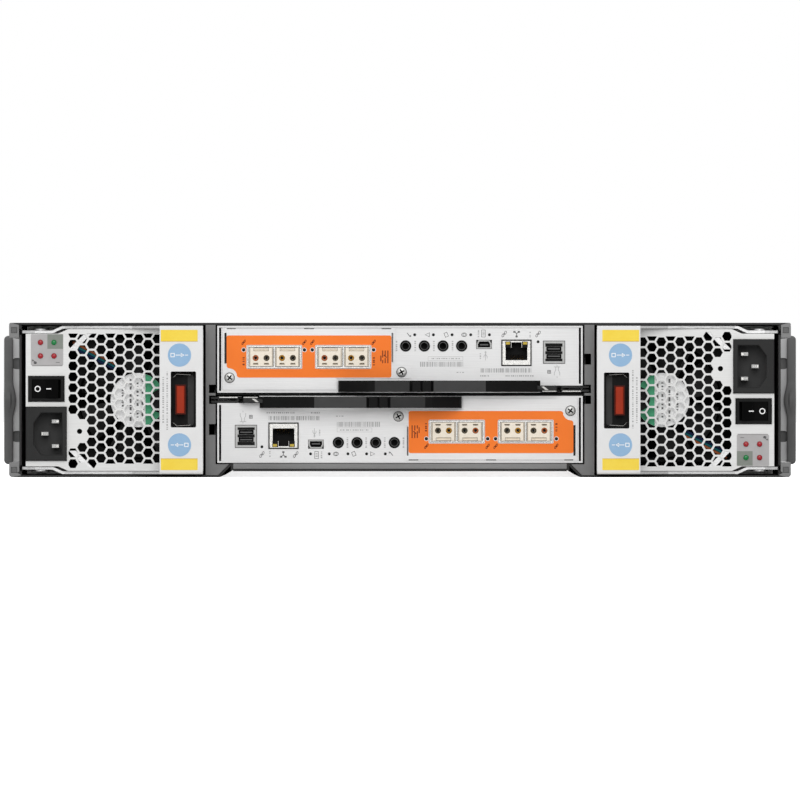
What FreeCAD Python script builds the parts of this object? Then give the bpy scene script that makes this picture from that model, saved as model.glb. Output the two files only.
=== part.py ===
"""A 2U rack disk shelf: twelve drive carriers at the front, two controllers and two power modules behind.

Millimetres. +X is to the right and +Z up as one looks at the rear face, and +Y runs from rear to front.
The origin is at the centre of the underside. Every piece is built with y = 0 at the rear edge of the case
and moved by Y_REAR as it is written out. One power module and one controller are modelled, on the left and
below, and the other of each pair is the same piece turned half round, as the real modules are.
"""

import FreeCAD, Part
import math
import os
from FreeCAD import Vector

# ---- Power module --------------------------------------------------------------------------------
PSU_WIDE = 101.0
PSU_HIGH = 84.3
PSU_LONG = 340.0
PSU_INSET = 2.0  # its open end lies this far inside the rear edge of the case
PSU_WALL = 1.0
PSU_GAP_OUT = 2.5  # to the side wall of the case
PSU_GAP_IN = 1.4  # to the divider
PSU_GAP_Z = 0.6  # to the floor and to the cover
FACE_SHEET = 1.0

# ---- Controller ----------------------------------------------------------------------------------
CAN_WIDE = 208.0
CAN_HIGH = 38.1
CAN_LONG = 340.0
CAN_INSET = 1.0
CAN_WALL = 1.0
CAN_GAP_X = 1.0
CAN_GAP_Z = 0.5
POCKET_HIGH = 4.1  # the corner pocket for the lever's arm
SLOT_FIT = 0.5

# ---- Case ----------------------------------------------------------------------------------------
SHEET = 1.2
DEPTH = 602.9  # rear edge of the case to the front of the rack ears
DIVIDER = 5.6
DIVIDER_WALL = 1.0
SHELF = 0.8
RAIL_WIDE = 5.8
RAIL_HIGH = 8.4
RAIL_CORE = 3.4
RAIL_ROUND = 2.0
FLOOR_LIP = 2.6
FLOOR_SLOPE = 6.5
FOOT_FIT = 0.3

# ---- Rack ears -----------------------------------------------------------------------------------
EAR_SHEET = 2.0
EAR_EDGE = 5.95  # from the middle of a rack slot to the ear's outer edge
EAR_MARGIN = 4.2
RACK_SPAN_X = 465.1
RACK_SPAN_Z = 44.45
RACK_SLOT_R = 3.4
RACK_SLOT_LONG = 10.0
CAP_OUT = 3.0
CAP_HIGH = 78.4
CAP_REACH = 18.0
CAP_LIP = 5.5
CAP_BACK = 3.0
CAP_FIT = 0.2

# ---- Handle, latch and cam fingers of a power module ---------------------------------------------
HANDLE_REACH = 20.0
HANDLE_SHEET = 1.5
HANDLE_BAND = 24.5
HANDLE_FIT = 0.3
PIVOT_IN = 8.2  # pivot from the outer side of the module
PIVOT_DEEP = 10.0
PIVOT_R = 2.4
PIVOT_FIT = 0.08
PIVOT_HEAD_R = 4.9
FINGER_BITE = 0.9  # how far a finger reaches into the slot of the side wall
NECK_DEEP = 34.0
ARM_DROP = 2.6
ARM_DROP_AT = 15.0
ARM_DROP_RUN = 5.7
ARM_SWING = 3.0  # the case steps up this far inside the arm's step, so that the arm can swing

# ---- Midplane and drives -------------------------------------------------------------------------
PLUG_LONG = 7.0
PLUG_FIT = 1.0
MIDPLANE = 2.4
MIDPLANE_GAP = 1.0
ROWS = 3
CAGE_WALL = 1.0
CAGE_LINER = 0.8
CAGE_BACK = 1.0
LEDGE_WIDE = 3.0
LEDGE_THICK = 0.8
CARRIER_FIT_X = 0.4
CARRIER_FIT_Z = 0.2
DRIVE_WIDE = 101.6
DRIVE_HIGH = 26.1
DRIVE_LONG = 147.0
DRIVE_FIT = 0.3
CARRIER_SHEET = 0.6
BEZEL_DEEP = 30.0
BEZEL_PROUD = 12.0

# ---- Sizes that follow ---------------------------------------------------------------------------
FLOOR_TOP = SHEET
COVER_UNDER = FLOOR_TOP + 2 * PSU_GAP_Z + PSU_HIGH
HEIGHT = COVER_UNDER + SHEET
PSU_MID_Z = FLOOR_TOP + PSU_GAP_Z + PSU_HIGH / 2
CAN_STACK = 2 * CAN_HIGH + SHELF + 2 * CAN_GAP_Z
RAISED_TOP = COVER_UNDER - CAN_STACK - 2 * CAN_GAP_Z
CAN_Z = RAISED_TOP + CAN_GAP_Z
CAN_MID_Z = CAN_Z + CAN_STACK / 2
CAN_TOP = CAN_Z + CAN_HIGH
DIVIDER_IN = CAN_WIDE / 2 + CAN_GAP_X
DIVIDER_OUT = DIVIDER_IN + DIVIDER
FLOOR_LOW_HALF = DIVIDER_IN - CAN_GAP_X - SHEET
PSU_X1 = -(DIVIDER_OUT + PSU_GAP_IN)
PSU_X0 = PSU_X1 - PSU_WIDE
INNER = -PSU_X0 + PSU_GAP_OUT
OUTER = INNER + SHEET
RAIL_OUT = OUTER + RAIL_WIDE
PSU_Z0 = FLOOR_TOP + PSU_GAP_Z
PSU_Z1 = PSU_Z0 + PSU_HIGH
PSU_END = PSU_INSET + PSU_LONG
CAN_END = CAN_INSET + CAN_LONG
MIDPLANE_Y = max(PSU_END, CAN_END) + PLUG_LONG + MIDPLANE_GAP
EAR_HALF = RACK_SPAN_X / 2 + EAR_EDGE
Y_REAR = HANDLE_REACH - (HANDLE_REACH + DEPTH + CAP_REACH) / 2

CAN_X0 = -CAN_WIDE / 2
CAN_X1 = CAN_WIDE / 2
TINY = 1e-6


# ---- Small helpers -------------------------------------------------------------------------------
def box(x0, x1, y0, y1, z0, z1):
    """A block between two values on each axis."""
    return Part.makeBox(x1 - x0, y1 - y0, z1 - z0, Vector(x0, y0, z0))


def along_y(points, y0, y1):
    """A closed outline of (x, z) points, drawn out from y0 to y1."""
    corners = [Vector(x, y0, z) for x, z in points]
    return Part.Face(Part.makePolygon(corners + corners[:1])).extrude(Vector(0, y1 - y0, 0))


def along_z(points, z0, z1):
    """A closed outline of (x, y) points, drawn out from z0 to z1."""
    corners = [Vector(x, y, z0) for x, y in points]
    return Part.Face(Part.makePolygon(corners + corners[:1])).extrude(Vector(0, 0, z1 - z0))


def rod_y(x, z, r, y0, y1):
    """A round bar or hole along Y."""
    return Part.makeCylinder(r, y1 - y0, Vector(x, y0, z), Vector(0, 1, 0))


def rod_z(x, y, r, z0, z1):
    """A round bar or hole along Z."""
    return Part.makeCylinder(r, z1 - z0, Vector(x, y, z0), Vector(0, 0, 1))


def rounded_y(x0, x1, z0, z1, r, y0, y1):
    """A block along Y whose four long edges are rounded."""
    block = box(x0, x1, y0, y1, z0, z1)
    long = [e for e in block.Edges if abs(e.BoundBox.YLength - (y1 - y0)) < TINY]
    return block.makeFillet(r, [e for e in long if e.BoundBox.XLength < TINY and e.BoundBox.ZLength < TINY])


def fused(pieces):
    """One solid from pieces that touch or cross."""
    return pieces[0].multiFuse(pieces[1:]).removeSplitter()


def bent_sheet(path, thick):
    """The outline of a folded sheet: a path of (x, z) points and the same path moved to its left by thick."""
    moved = []
    for i, (x, z) in enumerate(path):
        before = path[max(i - 1, 0)]
        after = path[min(i + 1, len(path) - 1)]
        sides = []
        for (ax, az), (bx, bz) in ((before, (x, z)), ((x, z), after)):
            long = math.hypot(bx - ax, bz - az)
            if long:
                sides.append((-(bz - az) / long, (bx - ax) / long))
        nx = sum(s[0] for s in sides)
        nz = sum(s[1] for s in sides)
        grow = thick * len(sides) / (nx * nx + nz * nz)
        moved.append((x + nx * grow, z + nz * grow))
    return path + moved[::-1]


def half_turn(shape, middle_z):
    """The same piece in the other bay: turned half round on the line along Y at x = 0 and z = middle_z."""
    turned = shape.copy()
    turned.rotate(Vector(0, 0, middle_z), Vector(0, 1, 0), 180)
    return turned


def mirrored_x(shape):
    """The same piece on the other side of the case."""
    return shape.mirror(Vector(0, 0, 0), Vector(1, 0, 0))


def lead(points, r):
    """An insulated lead through the points, eight-sided, with mitred corners."""
    path = Part.makePolygon(points)
    on = (points[1] - points[0]).normalize()
    side = on.cross(Vector(0, 0, 1)).normalize()
    up = side.cross(on)
    ring = []
    for i in range(9):
        a = math.radians(22.5 + 45 * i)
        ring.append(points[0] + side * (r * math.cos(a)) + up * (r * math.sin(a)))
    return path.makePipeShell([Part.makePolygon(ring)], True, False, 1)


# ---- Case: base pan, cover, dividers, shelf ------------------------------------------------------
FINGER_R = PIVOT_IN + PSU_GAP_OUT + FINGER_BITE
FINGER_SLOT_DEEP = PIVOT_DEEP + FINGER_R * 0.9
FINGER_SLOT_FIT = 0.9
ARM_LOW_TOP = PSU_Z1 - ARM_DROP  # upper face of the dropped end of the upper arm


def finger_slots(x0, x1):
    """The open-ended slots in a side wall for the cam fingers of a handle, above and below."""
    z0 = ARM_LOW_TOP - HANDLE_SHEET - FINGER_SLOT_FIT
    z1 = ARM_LOW_TOP + FINGER_SLOT_FIT
    upper = box(x0, x1, -1.0, FINGER_SLOT_DEEP, z0, z1)
    return [upper, half_turn(upper, PSU_MID_Z).mirror(Vector(0, 0, 0), Vector(1, 0, 0))]


def corner_rail(z0, round_low):
    """One box rail along an outer corner of the case, on the +X side, open at the rear."""
    rail = box(OUTER, RAIL_OUT, 0, DEPTH - EAR_SHEET, z0, z0 + RAIL_HIGH)
    z_round = z0 if round_low else z0 + RAIL_HIGH
    edges = [e for e in rail.Edges if e.BoundBox.YLength > RAIL_HIGH * 2]
    outer = [e for e in edges if abs(e.BoundBox.XMax - RAIL_OUT) < TINY]
    rail = rail.makeFillet(RAIL_ROUND, [e for e in outer if abs(e.BoundBox.ZMax - z_round) < TINY])
    x = (OUTER + RAIL_OUT) / 2
    z = z0 + RAIL_HIGH / 2
    core = box(x - RAIL_CORE / 2, x + RAIL_CORE / 2, -1, DEPTH / 2, z - RAIL_CORE / 2, z + RAIL_CORE / 2)
    return rail.cut(core)


def base_pan():
    """Floor and side walls in one folded sheet, raised under the controllers, with ears and lower rails."""
    rise = RAISED_TOP - SHEET
    low = FLOOR_LOW_HALF
    high = low - FLOOR_SLOPE
    wall_top = COVER_UNDER - CARRIER_FIT_Z
    rear_path = [(-OUTER, wall_top), (-OUTER, 0), (-low, 0), (-high, rise)]
    rear_path += [(-x, z) for x, z in reversed(rear_path)]
    rear = along_y(bent_sheet(rear_path, SHEET), 0, MIDPLANE_Y + MIDPLANE + SHEET)
    front_path = [(-OUTER, wall_top), (-OUTER, 0), (OUTER, 0), (OUTER, wall_top)]
    front = along_y(bent_sheet(front_path, SHEET), MIDPLANE_Y + MIDPLANE, DEPTH)
    riser_y = MIDPLANE_Y + MIDPLANE
    riser = along_y([(-low, 0), (-high, RAISED_TOP), (high, RAISED_TOP), (low, 0)], riser_y, riser_y + SHEET)
    lip = box(-high, high, 0, SHEET, rise - FLOOR_LIP, rise)
    ear = box(INNER, EAR_HALF, DEPTH - EAR_SHEET, DEPTH, EAR_MARGIN, HEIGHT - EAR_MARGIN)
    for side in (-1, 1):
        z = HEIGHT / 2 + side * RACK_SPAN_Z / 2
        half_flat = RACK_SLOT_LONG / 2 - RACK_SLOT_R
        x = RACK_SPAN_X / 2
        y0, y1 = DEPTH - EAR_SHEET - 1, DEPTH + 1
        middle = box(x - half_flat, x + half_flat, y0, y1, z - RACK_SLOT_R, z + RACK_SLOT_R)
        ends = [rod_y(x + i * half_flat, z, RACK_SLOT_R, y0, y1) for i in (-1, 1)]
        ear = ear.cut([fused([middle] + ends)])
    rail = corner_rail(0, True)
    pan = fused([rear, front, riser, lip, ear, mirrored_x(ear), rail, mirrored_x(rail)])
    slots = finger_slots(INNER - 1, OUTER + 0.01)
    return pan.cut(slots + [mirrored_x(s) for s in slots])


def top_cover():
    """The flat cover sheet with the two upper corner rails folded under its edges."""
    plate = box(-RAIL_OUT, RAIL_OUT, 0, DEPTH - EAR_SHEET, COVER_UNDER, HEIGHT)
    edges = [e for e in plate.Edges if e.BoundBox.YLength > HEIGHT]
    plate = plate.makeFillet(SHEET - 0.1, [e for e in edges if abs(e.BoundBox.ZMin - HEIGHT) < TINY])
    rail = corner_rail(HEIGHT - RAIL_HIGH, False)
    gap = box(OUTER - 1, OUTER + CARRIER_FIT_Z, -1, DEPTH, 0, COVER_UNDER)
    rail = rail.cut(gap)
    return fused([plate, rail, mirrored_x(rail)])


LEVER_SLOT_DEEP = 22.0
LEVER_SLOT_IN = 3.7
KEY_SLOT = (15.9, 22.1)  # above the underside of the lower controller
LEVER_SLOT = (CAN_HIGH - POCKET_HIGH - SLOT_FIT, CAN_HIGH + 0.2)


def divider(side):
    """The hollow upright between a power bay and the controller bay; side is -1 on the left or 1."""
    x0, x1 = sorted((side * DIVIDER_IN, side * DIVIDER_OUT))
    body = box(x0, x1, 0, MIDPLANE_Y - MIDPLANE_GAP, FLOOR_TOP, COVER_UNDER)
    wall = DIVIDER_WALL
    core = box(x0 + wall, x1 - wall, SHEET, MIDPLANE_Y, FLOOR_TOP + wall, COVER_UNDER - wall)
    rise = RAISED_TOP - SHEET
    lean = FLOOR_SLOPE / rise
    foot_x = FLOOR_LOW_HALF + SHEET * math.hypot(1, lean) + FOOT_FIT
    foot_top = RAISED_TOP - FOOT_FIT
    foot = [(DIVIDER_IN, FLOOR_TOP), (foot_x - FLOOR_TOP * lean, FLOOR_TOP)]
    foot += [(foot_x - foot_top * lean, foot_top), (DIVIDER_IN, foot_top)]
    gusset = along_y([(side * x, z) for x, z in foot], 0, SHEET)
    bands = [LEVER_SLOT, (CAN_STACK - LEVER_SLOT[1], CAN_STACK - LEVER_SLOT[0])]
    bands.append(KEY_SLOT if side < 0 else (CAN_STACK - KEY_SLOT[1], CAN_STACK - KEY_SLOT[0]))
    slot_x = sorted((side * (DIVIDER_IN - 1), side * (DIVIDER_IN + LEVER_SLOT_IN)))
    slots = [box(*slot_x, -1, LEVER_SLOT_DEEP, CAN_Z + low, CAN_Z + high) for low, high in bands]
    return fused([body.cut(core), gusset]).cut(slots)


def controller_shelf():
    """The thin shelf between the two controllers, cut back at both rear corners for the levers."""
    z0 = CAN_TOP + CAN_GAP_Z
    shelf = box(-DIVIDER_IN, DIVIDER_IN, SHEET, MIDPLANE_Y - MIDPLANE_GAP, z0, z0 + SHELF)
    holes = []
    for row in range(3):
        for column in (-1, 0, 1):
            y = 90 + row * 90
            x = column * 60
            holes.append(box(x - 20, x + 20, y - 30, y + 30, z0 - 1, z0 + SHELF + 1))
    return shelf.cut(holes)


# ---- Midplane and drive cage ---------------------------------------------------------------------
CAGE_Y = MIDPLANE_Y + MIDPLANE + 12.0
CAGE_IN = INNER - CAGE_LINER
LEAST_BAY = DRIVE_WIDE + 2 * (DRIVE_FIT + CARRIER_SHEET + CARRIER_FIT_X)
COLUMNS = math.floor((2 * CAGE_IN + CAGE_WALL) / (LEAST_BAY + CAGE_WALL))
BAY_WIDE = (2 * CAGE_IN - (COLUMNS - 1) * CAGE_WALL) / COLUMNS
BAY_HIGH = (COVER_UNDER - FLOOR_TOP) / ROWS
CARRIER_WIDE = BAY_WIDE - 2 * CARRIER_FIT_X
CARRIER_HIGH = BAY_HIGH - LEDGE_THICK - 2 * CARRIER_FIT_Z
CONNECTOR_WIDE = 42.0
CONNECTOR_HIGH = 8.0
CONNECTOR_LONG = 8.0


def bay_middle(column, row):
    """Centre of one drive bay in x and z; column 0 is the leftmost and row 0 the lowest."""
    x = -CAGE_IN + BAY_WIDE / 2 + column * (BAY_WIDE + CAGE_WALL)
    return x, FLOOR_TOP + (row + 0.5) * BAY_HIGH


def midplane():
    """The circuit board across the case, with air windows and the sockets that every module plugs into."""
    y1 = MIDPLANE_Y + MIDPLANE
    board = box(-INNER + 1, INNER - 1, MIDPLANE_Y, y1, RAISED_TOP + 0.3, COVER_UNDER - 0.3)
    windows = []
    sockets = []
    for column in range(COLUMNS):
        for row in range(ROWS):
            x, z = bay_middle(column, row)
            half_w, half_h = CONNECTOR_WIDE / 2, CONNECTOR_HIGH / 2
            sockets.append(box(x - half_w, x + half_w, y1, y1 + CONNECTOR_LONG, z - half_h, z + half_h))
            if row < ROWS - 1:
                air = z + BAY_HIGH / 2
                windows.append(box(x - 40, x + 40, MIDPLANE_Y - 1, y1 + 1, air - 7, air + 7))
    board = board.cut(windows)
    deep = MIDPLANE_GAP + 0.5
    low = CAN_Z + 14.0
    mate = box(-40, 40, MIDPLANE_Y - deep, MIDPLANE_Y, low, low + 12.0)
    psu_mate = box(PSU_X0 + 28, PSU_X1 - 28, MIDPLANE_Y - deep, MIDPLANE_Y, PSU_Z0 + 12, PSU_Z0 + 22)
    sockets += [mate, half_turn(mate, CAN_MID_Z), psu_mate, half_turn(psu_mate, PSU_MID_Z)]
    return Part.makeCompound([board] + sockets)


def drive_cage():
    """Partitions and liners with guide ledges, joined by a back plate that the drive plugs reach through."""
    y1 = DEPTH - EAR_SHEET
    pieces = [box(-CAGE_IN, CAGE_IN, CAGE_Y, CAGE_Y + CAGE_BACK, FLOOR_TOP, COVER_UNDER)]
    for side in (-1, 1):
        x0, x1 = sorted((side * CAGE_IN, side * INNER))
        pieces.append(box(x0, x1, CAGE_Y, y1, FLOOR_TOP, COVER_UNDER))
    for column in range(1, COLUMNS):
        x0 = -CAGE_IN + column * (BAY_WIDE + CAGE_WALL) - CAGE_WALL
        pieces.append(box(x0, x0 + CAGE_WALL, CAGE_Y, y1, FLOOR_TOP, COVER_UNDER))
    for column in range(COLUMNS):
        x, _ = bay_middle(column, 0)
        for row in range(1, ROWS):
            z = FLOOR_TOP + row * BAY_HIGH
            for side in (-1, 1):
                x0, x1 = sorted((x + side * BAY_WIDE / 2, x + side * (BAY_WIDE / 2 - LEDGE_WIDE)))
                pieces.append(box(x0, x1, CAGE_Y, y1 - 14.0, z - LEDGE_THICK / 2, z + LEDGE_THICK / 2))
    cage = fused(pieces)
    windows = []
    for column in range(COLUMNS):
        for row in range(ROWS):
            x, z = bay_middle(column, row)
            windows.append(box(x - 38, x + 38, CAGE_Y - 1, CAGE_Y + CAGE_BACK + 1, z - 9, z + 9))
    return cage.cut(windows)


# ---- Drive carrier -------------------------------------------------------------------------------
LEVER_WIDE = 26.0
CARRIER_LEVER_FIT = 0.4
VENT_SLOTS = 6


def drive_carrier(column, row):
    """One carrier: sheet tray, moulded front with air slots, its folded lever, and the drive it holds."""
    x, z = bay_middle(column, row)
    x0, x1 = x - CARRIER_WIDE / 2, x + CARRIER_WIDE / 2
    z0, z1 = z - CARRIER_HIGH / 2, z + CARRIER_HIGH / 2
    y_front = DEPTH + BEZEL_PROUD
    y_back = y_front - BEZEL_DEEP
    drive_y1 = y_back - 4.0
    drive_y0 = drive_y1 - DRIVE_LONG
    drive_z0 = z0 + CARRIER_SHEET
    drive = box(x - DRIVE_WIDE / 2, x + DRIVE_WIDE / 2, drive_y0, drive_y1, drive_z0, drive_z0 + DRIVE_HIGH)
    wall = (CARRIER_WIDE - DRIVE_WIDE) / 2 - DRIVE_FIT
    path = [(x0, z0 + 17.0), (x0, z0), (x1, z0), (x1, z0 + 17.0)]
    tray = along_y(bent_sheet(path, CARRIER_SHEET), drive_y0 + 6.0, y_back)
    side_x = [x0 + CARRIER_SHEET, x0 + wall], [x1 - wall, x1 - CARRIER_SHEET]
    runners = [box(a, b, drive_y0 + 20.0, y_back, z0 + 8.0, z0 + 15.0) for a, b in side_x]
    tray = fused([tray] + runners)
    shell = box(x0, x1, y_back, y_front, z0, z1)
    shell = shell.makeChamfer(1.2, [e for e in shell.Edges if abs(e.CenterOfMass.y - y_front) < TINY])
    lever_x0 = x1 - 3.0 - LEVER_WIDE
    slots = []
    pitch = (lever_x0 - x0 - 10.0) / VENT_SLOTS
    for i in range(VENT_SLOTS):
        sx = x0 + 5.0 + i * pitch
        slots.append(box(sx, sx + pitch - 2.4, y_back + 2.0, y_front + 1, z0 + 4.0, z1 - 4.0))
    seat = box(lever_x0, x1 - 3.0, y_front - 9.0, y_front + 1, z0 + 3.0, z1 - 3.0)
    shell = shell.cut(slots + [seat])
    fit = CARRIER_LEVER_FIT
    lx0, lx1 = lever_x0 + fit, x1 - 3.0 - fit
    bow = [(lx0, y_front - 2.5), (lx0 + 5, y_front - 0.8), ((lx0 + lx1) / 2, y_front)]
    bow += [(lx1 - 3, y_front - 0.6), (lx1, y_front - 1.6)]
    bow += [(lx1, y_front - 9.0 + fit), (lx0, y_front - 9.0 + fit)]
    lever = along_z(bow, z0 + 3.0 + fit, z1 - 3.0 - fit)
    plug = box(x - 20, x + 20, drive_y0 - 0.2, drive_y0, z - 3, z + 3)
    return Part.makeCompound([tray, shell, lever, drive.fuse(plug).removeSplitter()])


# ---- Ear caps ------------------------------------------------------------------------------------
def ear_cap():
    """The moulded cap that clips over a rack ear, on the +X side, with the thumb pad on its rear edge."""
    x0 = INNER + 1.5
    x1 = EAR_HALF + CAP_OUT
    z0 = (HEIGHT - CAP_HIGH) / 2
    z1 = z0 + CAP_HIGH
    front = box(x0, x1, DEPTH, DEPTH + CAP_REACH, z0, z1)
    face_y = DEPTH + CAP_REACH
    front = front.makeFillet(4.0, [e for e in front.Edges if abs(e.CenterOfMass.y - face_y) < TINY])
    hollow = box(x0 + 2.0, x1 - 4.0, DEPTH - 1, DEPTH + CAP_REACH - 2.5, z0 + 9.0, z1 - 9.0)
    back_y = DEPTH - EAR_SHEET - CAP_BACK
    lip = rounded_y(x1 - CAP_LIP, x1, z0, z1, 2.0, back_y, DEPTH)
    groove = box(x0, EAR_HALF + CAP_FIT, DEPTH - EAR_SHEET - CAP_FIT, DEPTH, z0 - 1, z1 + 1)
    pad_r = 40.0
    pad = Part.makeCylinder(pad_r, 7.3, Vector(x1 - 7.3, DEPTH - 8.5 + pad_r, HEIGHT / 2), Vector(1, 0, 0))
    pad = pad.common(box(x1 - 7.3, x1, DEPTH - 8.5, back_y + 1, HEIGHT / 2 - 10, HEIGHT / 2 + 10))
    scoop = Part.makeCylinder(14.0, 3.0, Vector(x1 - 7.4, DEPTH - 19.5, HEIGHT / 2), Vector(1, 0, 0))
    return fused([front, lip.cut(groove), pad.cut(scoop)]).cut(hollow)


# ---- Power module: case and front ----------------------------------------------------------------
NECK_DROP_OUT = ARM_DROP + HANDLE_SHEET + HANDLE_FIT  # room above the outer end of the neck
COLUMN_WIDE = 23.4  # the plain part of the front, with the inlet and the switch
PIVOT_X = PSU_X0 + PIVOT_IN
FACE_Y = PSU_INSET - FACE_SHEET
RUNNER_HIGH = 6.0
GUSSET = 11.0
GUSSET_IN = 24.5
GUSSET_STRIP = 4.0


def arm_path(x_in, x_out, shift=0.0):
    """The upper face of the upper arm in (x, z), from the band's side to the outer side, with its joggle."""
    step = PSU_X0 + ARM_DROP_AT + shift
    return [(x_in, PSU_Z1), (step + ARM_DROP_RUN, PSU_Z1), (step, ARM_LOW_TOP), (x_out, ARM_LOW_TOP)]


def neck_outline(inset):
    """Cross-section of the case where the handle's arms lie over it, taken in by inset all round."""
    path = arm_path(PSU_X1 - inset, PSU_X0 + inset, ARM_SWING)
    points = bent_sheet(path, HANDLE_SHEET + HANDLE_FIT + inset)[len(path):]
    return points + [(x, 2 * PSU_MID_Z - z) for x, z in reversed(points)]


def psu_case():
    """The sheet case, narrowed at the rear for the handle, with its two pivot rivets and side runner."""
    body = box(PSU_X0, PSU_X1, NECK_DEEP, PSU_END, PSU_Z0, PSU_Z1)
    neck = along_y(neck_outline(0), PSU_INSET, NECK_DEEP)
    w = PSU_WALL
    hollow = box(PSU_X0 + w, PSU_X1 - w, NECK_DEEP + w, PSU_END - w, PSU_Z0 + w, PSU_Z1 - w)
    throat = along_y(neck_outline(w), PSU_INSET - 1, NECK_DEEP + w + 1)
    window = box(PSU_X0 + 26, PSU_X1 - 26, PSU_END - w - 1, PSU_END + 1, PSU_Z0 + 10, PSU_Z0 + 24)
    vents = []
    for i in range(8):
        x = PSU_X0 + 12 + i * 10
        vents.append(box(x, x + 6, PSU_END - w - 1, PSU_END + 1, PSU_Z0 + 34, PSU_Z1 - 10))
    case = fused([body, neck]).cut([hollow, throat, window] + vents)
    runner = box(
        PSU_X0 - PSU_GAP_OUT + 0.3, PSU_X0, NECK_DEEP + 10, PSU_END - 10,
        PSU_MID_Z - RUNNER_HIGH / 2, PSU_MID_Z + RUNNER_HIGH / 2,
    )
    top = PSU_Z1 - NECK_DROP_OUT
    shank = rod_z(PIVOT_X, PIVOT_DEEP, PIVOT_R, top - PSU_WALL / 2, ARM_LOW_TOP + HANDLE_FIT)
    head = rod_z(PIVOT_X, PIVOT_DEEP, PIVOT_HEAD_R, ARM_LOW_TOP + HANDLE_FIT / 2, ARM_LOW_TOP + 1.0)
    rivet = shank.fuse(head)
    low_rivet = rivet.mirror(Vector(0, 0, PSU_MID_Z), Vector(0, 0, 1))
    gx, gz = PSU_X0 + GUSSET_IN, PSU_Z1 - HANDLE_SHEET - HANDLE_FIT - PSU_WALL / 2
    outline = [(gx, gz - GUSSET), (gx + GUSSET_STRIP, gz - GUSSET)]
    outline += [(gx + GUSSET + GUSSET_STRIP, gz), (gx + GUSSET, gz)]
    gusset = along_y(outline, PSU_INSET, PSU_INSET + w)
    low_gusset = gusset.mirror(Vector(0, 0, PSU_MID_Z), Vector(0, 0, 1))
    y = FAN_Y + FAN_DEEP
    bulkhead = box(PSU_X0 + w / 2, PSU_X1 - w / 2, y, y + w, PSU_Z0 + w / 2, PSU_Z1 - w / 2)
    duct = rod_y(FAN_X, PSU_MID_Z, FAN_BORE_R, y - 1, y + w + 1)
    notch = box(LEADS_X - 2, LEADS_X + 2, y - 1, y + w + 1, LEADS_Z - 4, LEADS_Z + 4)
    return fused([case, runner, rivet, low_rivet, gusset, low_gusset, bulkhead.cut([duct, notch])])


INLET = (PSU_X0, PSU_X0 + COLUMN_WIDE, PSU_Z0 + 7.5, PSU_Z0 + 38.4)
INLET_BODY_IN = 1.8
SWITCH_WIDE = 20.8
SWITCH_HIGH = 14.8
SWITCH_MID = (PSU_X0 + 11.7, PSU_Z0 + 48.5)
LAMP_PITCH = 7.7
LAMP_R = 1.6
PART_FIT = 0.15
LAMP_PANEL = 17.0
LAMP_MID = (PSU_X0 + 12.2, PSU_Z1 - NECK_DROP_OUT - PSU_WALL - 2 * PART_FIT - LAMP_PANEL / 2)
LAMP_UP = 1.0  # the lamps lie above the middle of their panel
LAMPS = [
    (LAMP_MID[0] + i * LAMP_PITCH / 2, LAMP_MID[1] + LAMP_UP + j * LAMP_PITCH / 2)
    for i in (-1, 1) for j in (-1, 1)
]


def psu_face_plate():
    """The plain part of the front sheet, with openings for the inlet, the switch and the lamp panel."""
    x1 = PSU_X0 + COLUMN_WIDE
    strip = box(PSU_X0, x1, FACE_Y, PSU_INSET, PSU_Z0, PSU_Z1)
    plate = along_y(neck_outline(0), FACE_Y, PSU_INSET).common(strip)
    ix0, ix1, iz0, iz1 = INLET
    inset = INLET_BODY_IN - PART_FIT
    sx, sz = SWITCH_MID
    sw, sh = SWITCH_WIDE / 2 - 1.2 + PART_FIT, SWITCH_HIGH / 2 - 1.2 + PART_FIT
    tools = [box(ix0 + inset, ix1 - inset, 0, PSU_INSET + 1, iz0 + inset, iz1 - inset)]
    tools.append(box(sx - sw, sx + sw, 0, PSU_INSET + 1, sz - sh, sz + sh))
    lx, lz = LAMP_MID
    half = LAMP_PANEL / 2 + PART_FIT
    tools.append(box(lx - half, lx + half, 0, PSU_INSET + 1, lz - half, lz + half))
    return plate.cut(tools)


HEX_PITCH = 6.18
HEX_FLATS = 5.05
VENT_X0 = PSU_X0 + 24.3
VENT_X1 = PSU_X1 - HANDLE_BAND - 0.2 + 2.2
VENT_Z0 = PSU_Z0 + 5.9
VENT_Z1 = PSU_Z1 - 4.3
HEX_X = PSU_X0 + 26.8
HEX_Z = PSU_Z0 + 5.9
WHOLE_COLUMNS = (0, 2)  # these end in a whole hole below, and the others in half a hole
PAD_X = PSU_X0 + 33.5
PAD_Z = PSU_Z0 + 24.3
PAD_HALF = 8.3
VENT_SCREW = (PSU_X0 + 30.6, PAD_Z)
VENT_SCREW_R = 1.5


def clipped(points, axis, limit, keep_above):
    """The part of a convex outline on one side of a line at right angles to an axis."""
    kept = []
    for i, a in enumerate(points):
        b = points[(i + 1) % len(points)]
        a_in = (a[axis] >= limit) == keep_above
        b_in = (b[axis] >= limit) == keep_above
        if a_in:
            kept.append(a)
        if a_in != b_in:
            t = (limit - a[axis]) / (b[axis] - a[axis])
            kept.append((a[0] + t * (b[0] - a[0]), a[1] + t * (b[1] - a[1])))
    return kept


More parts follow.
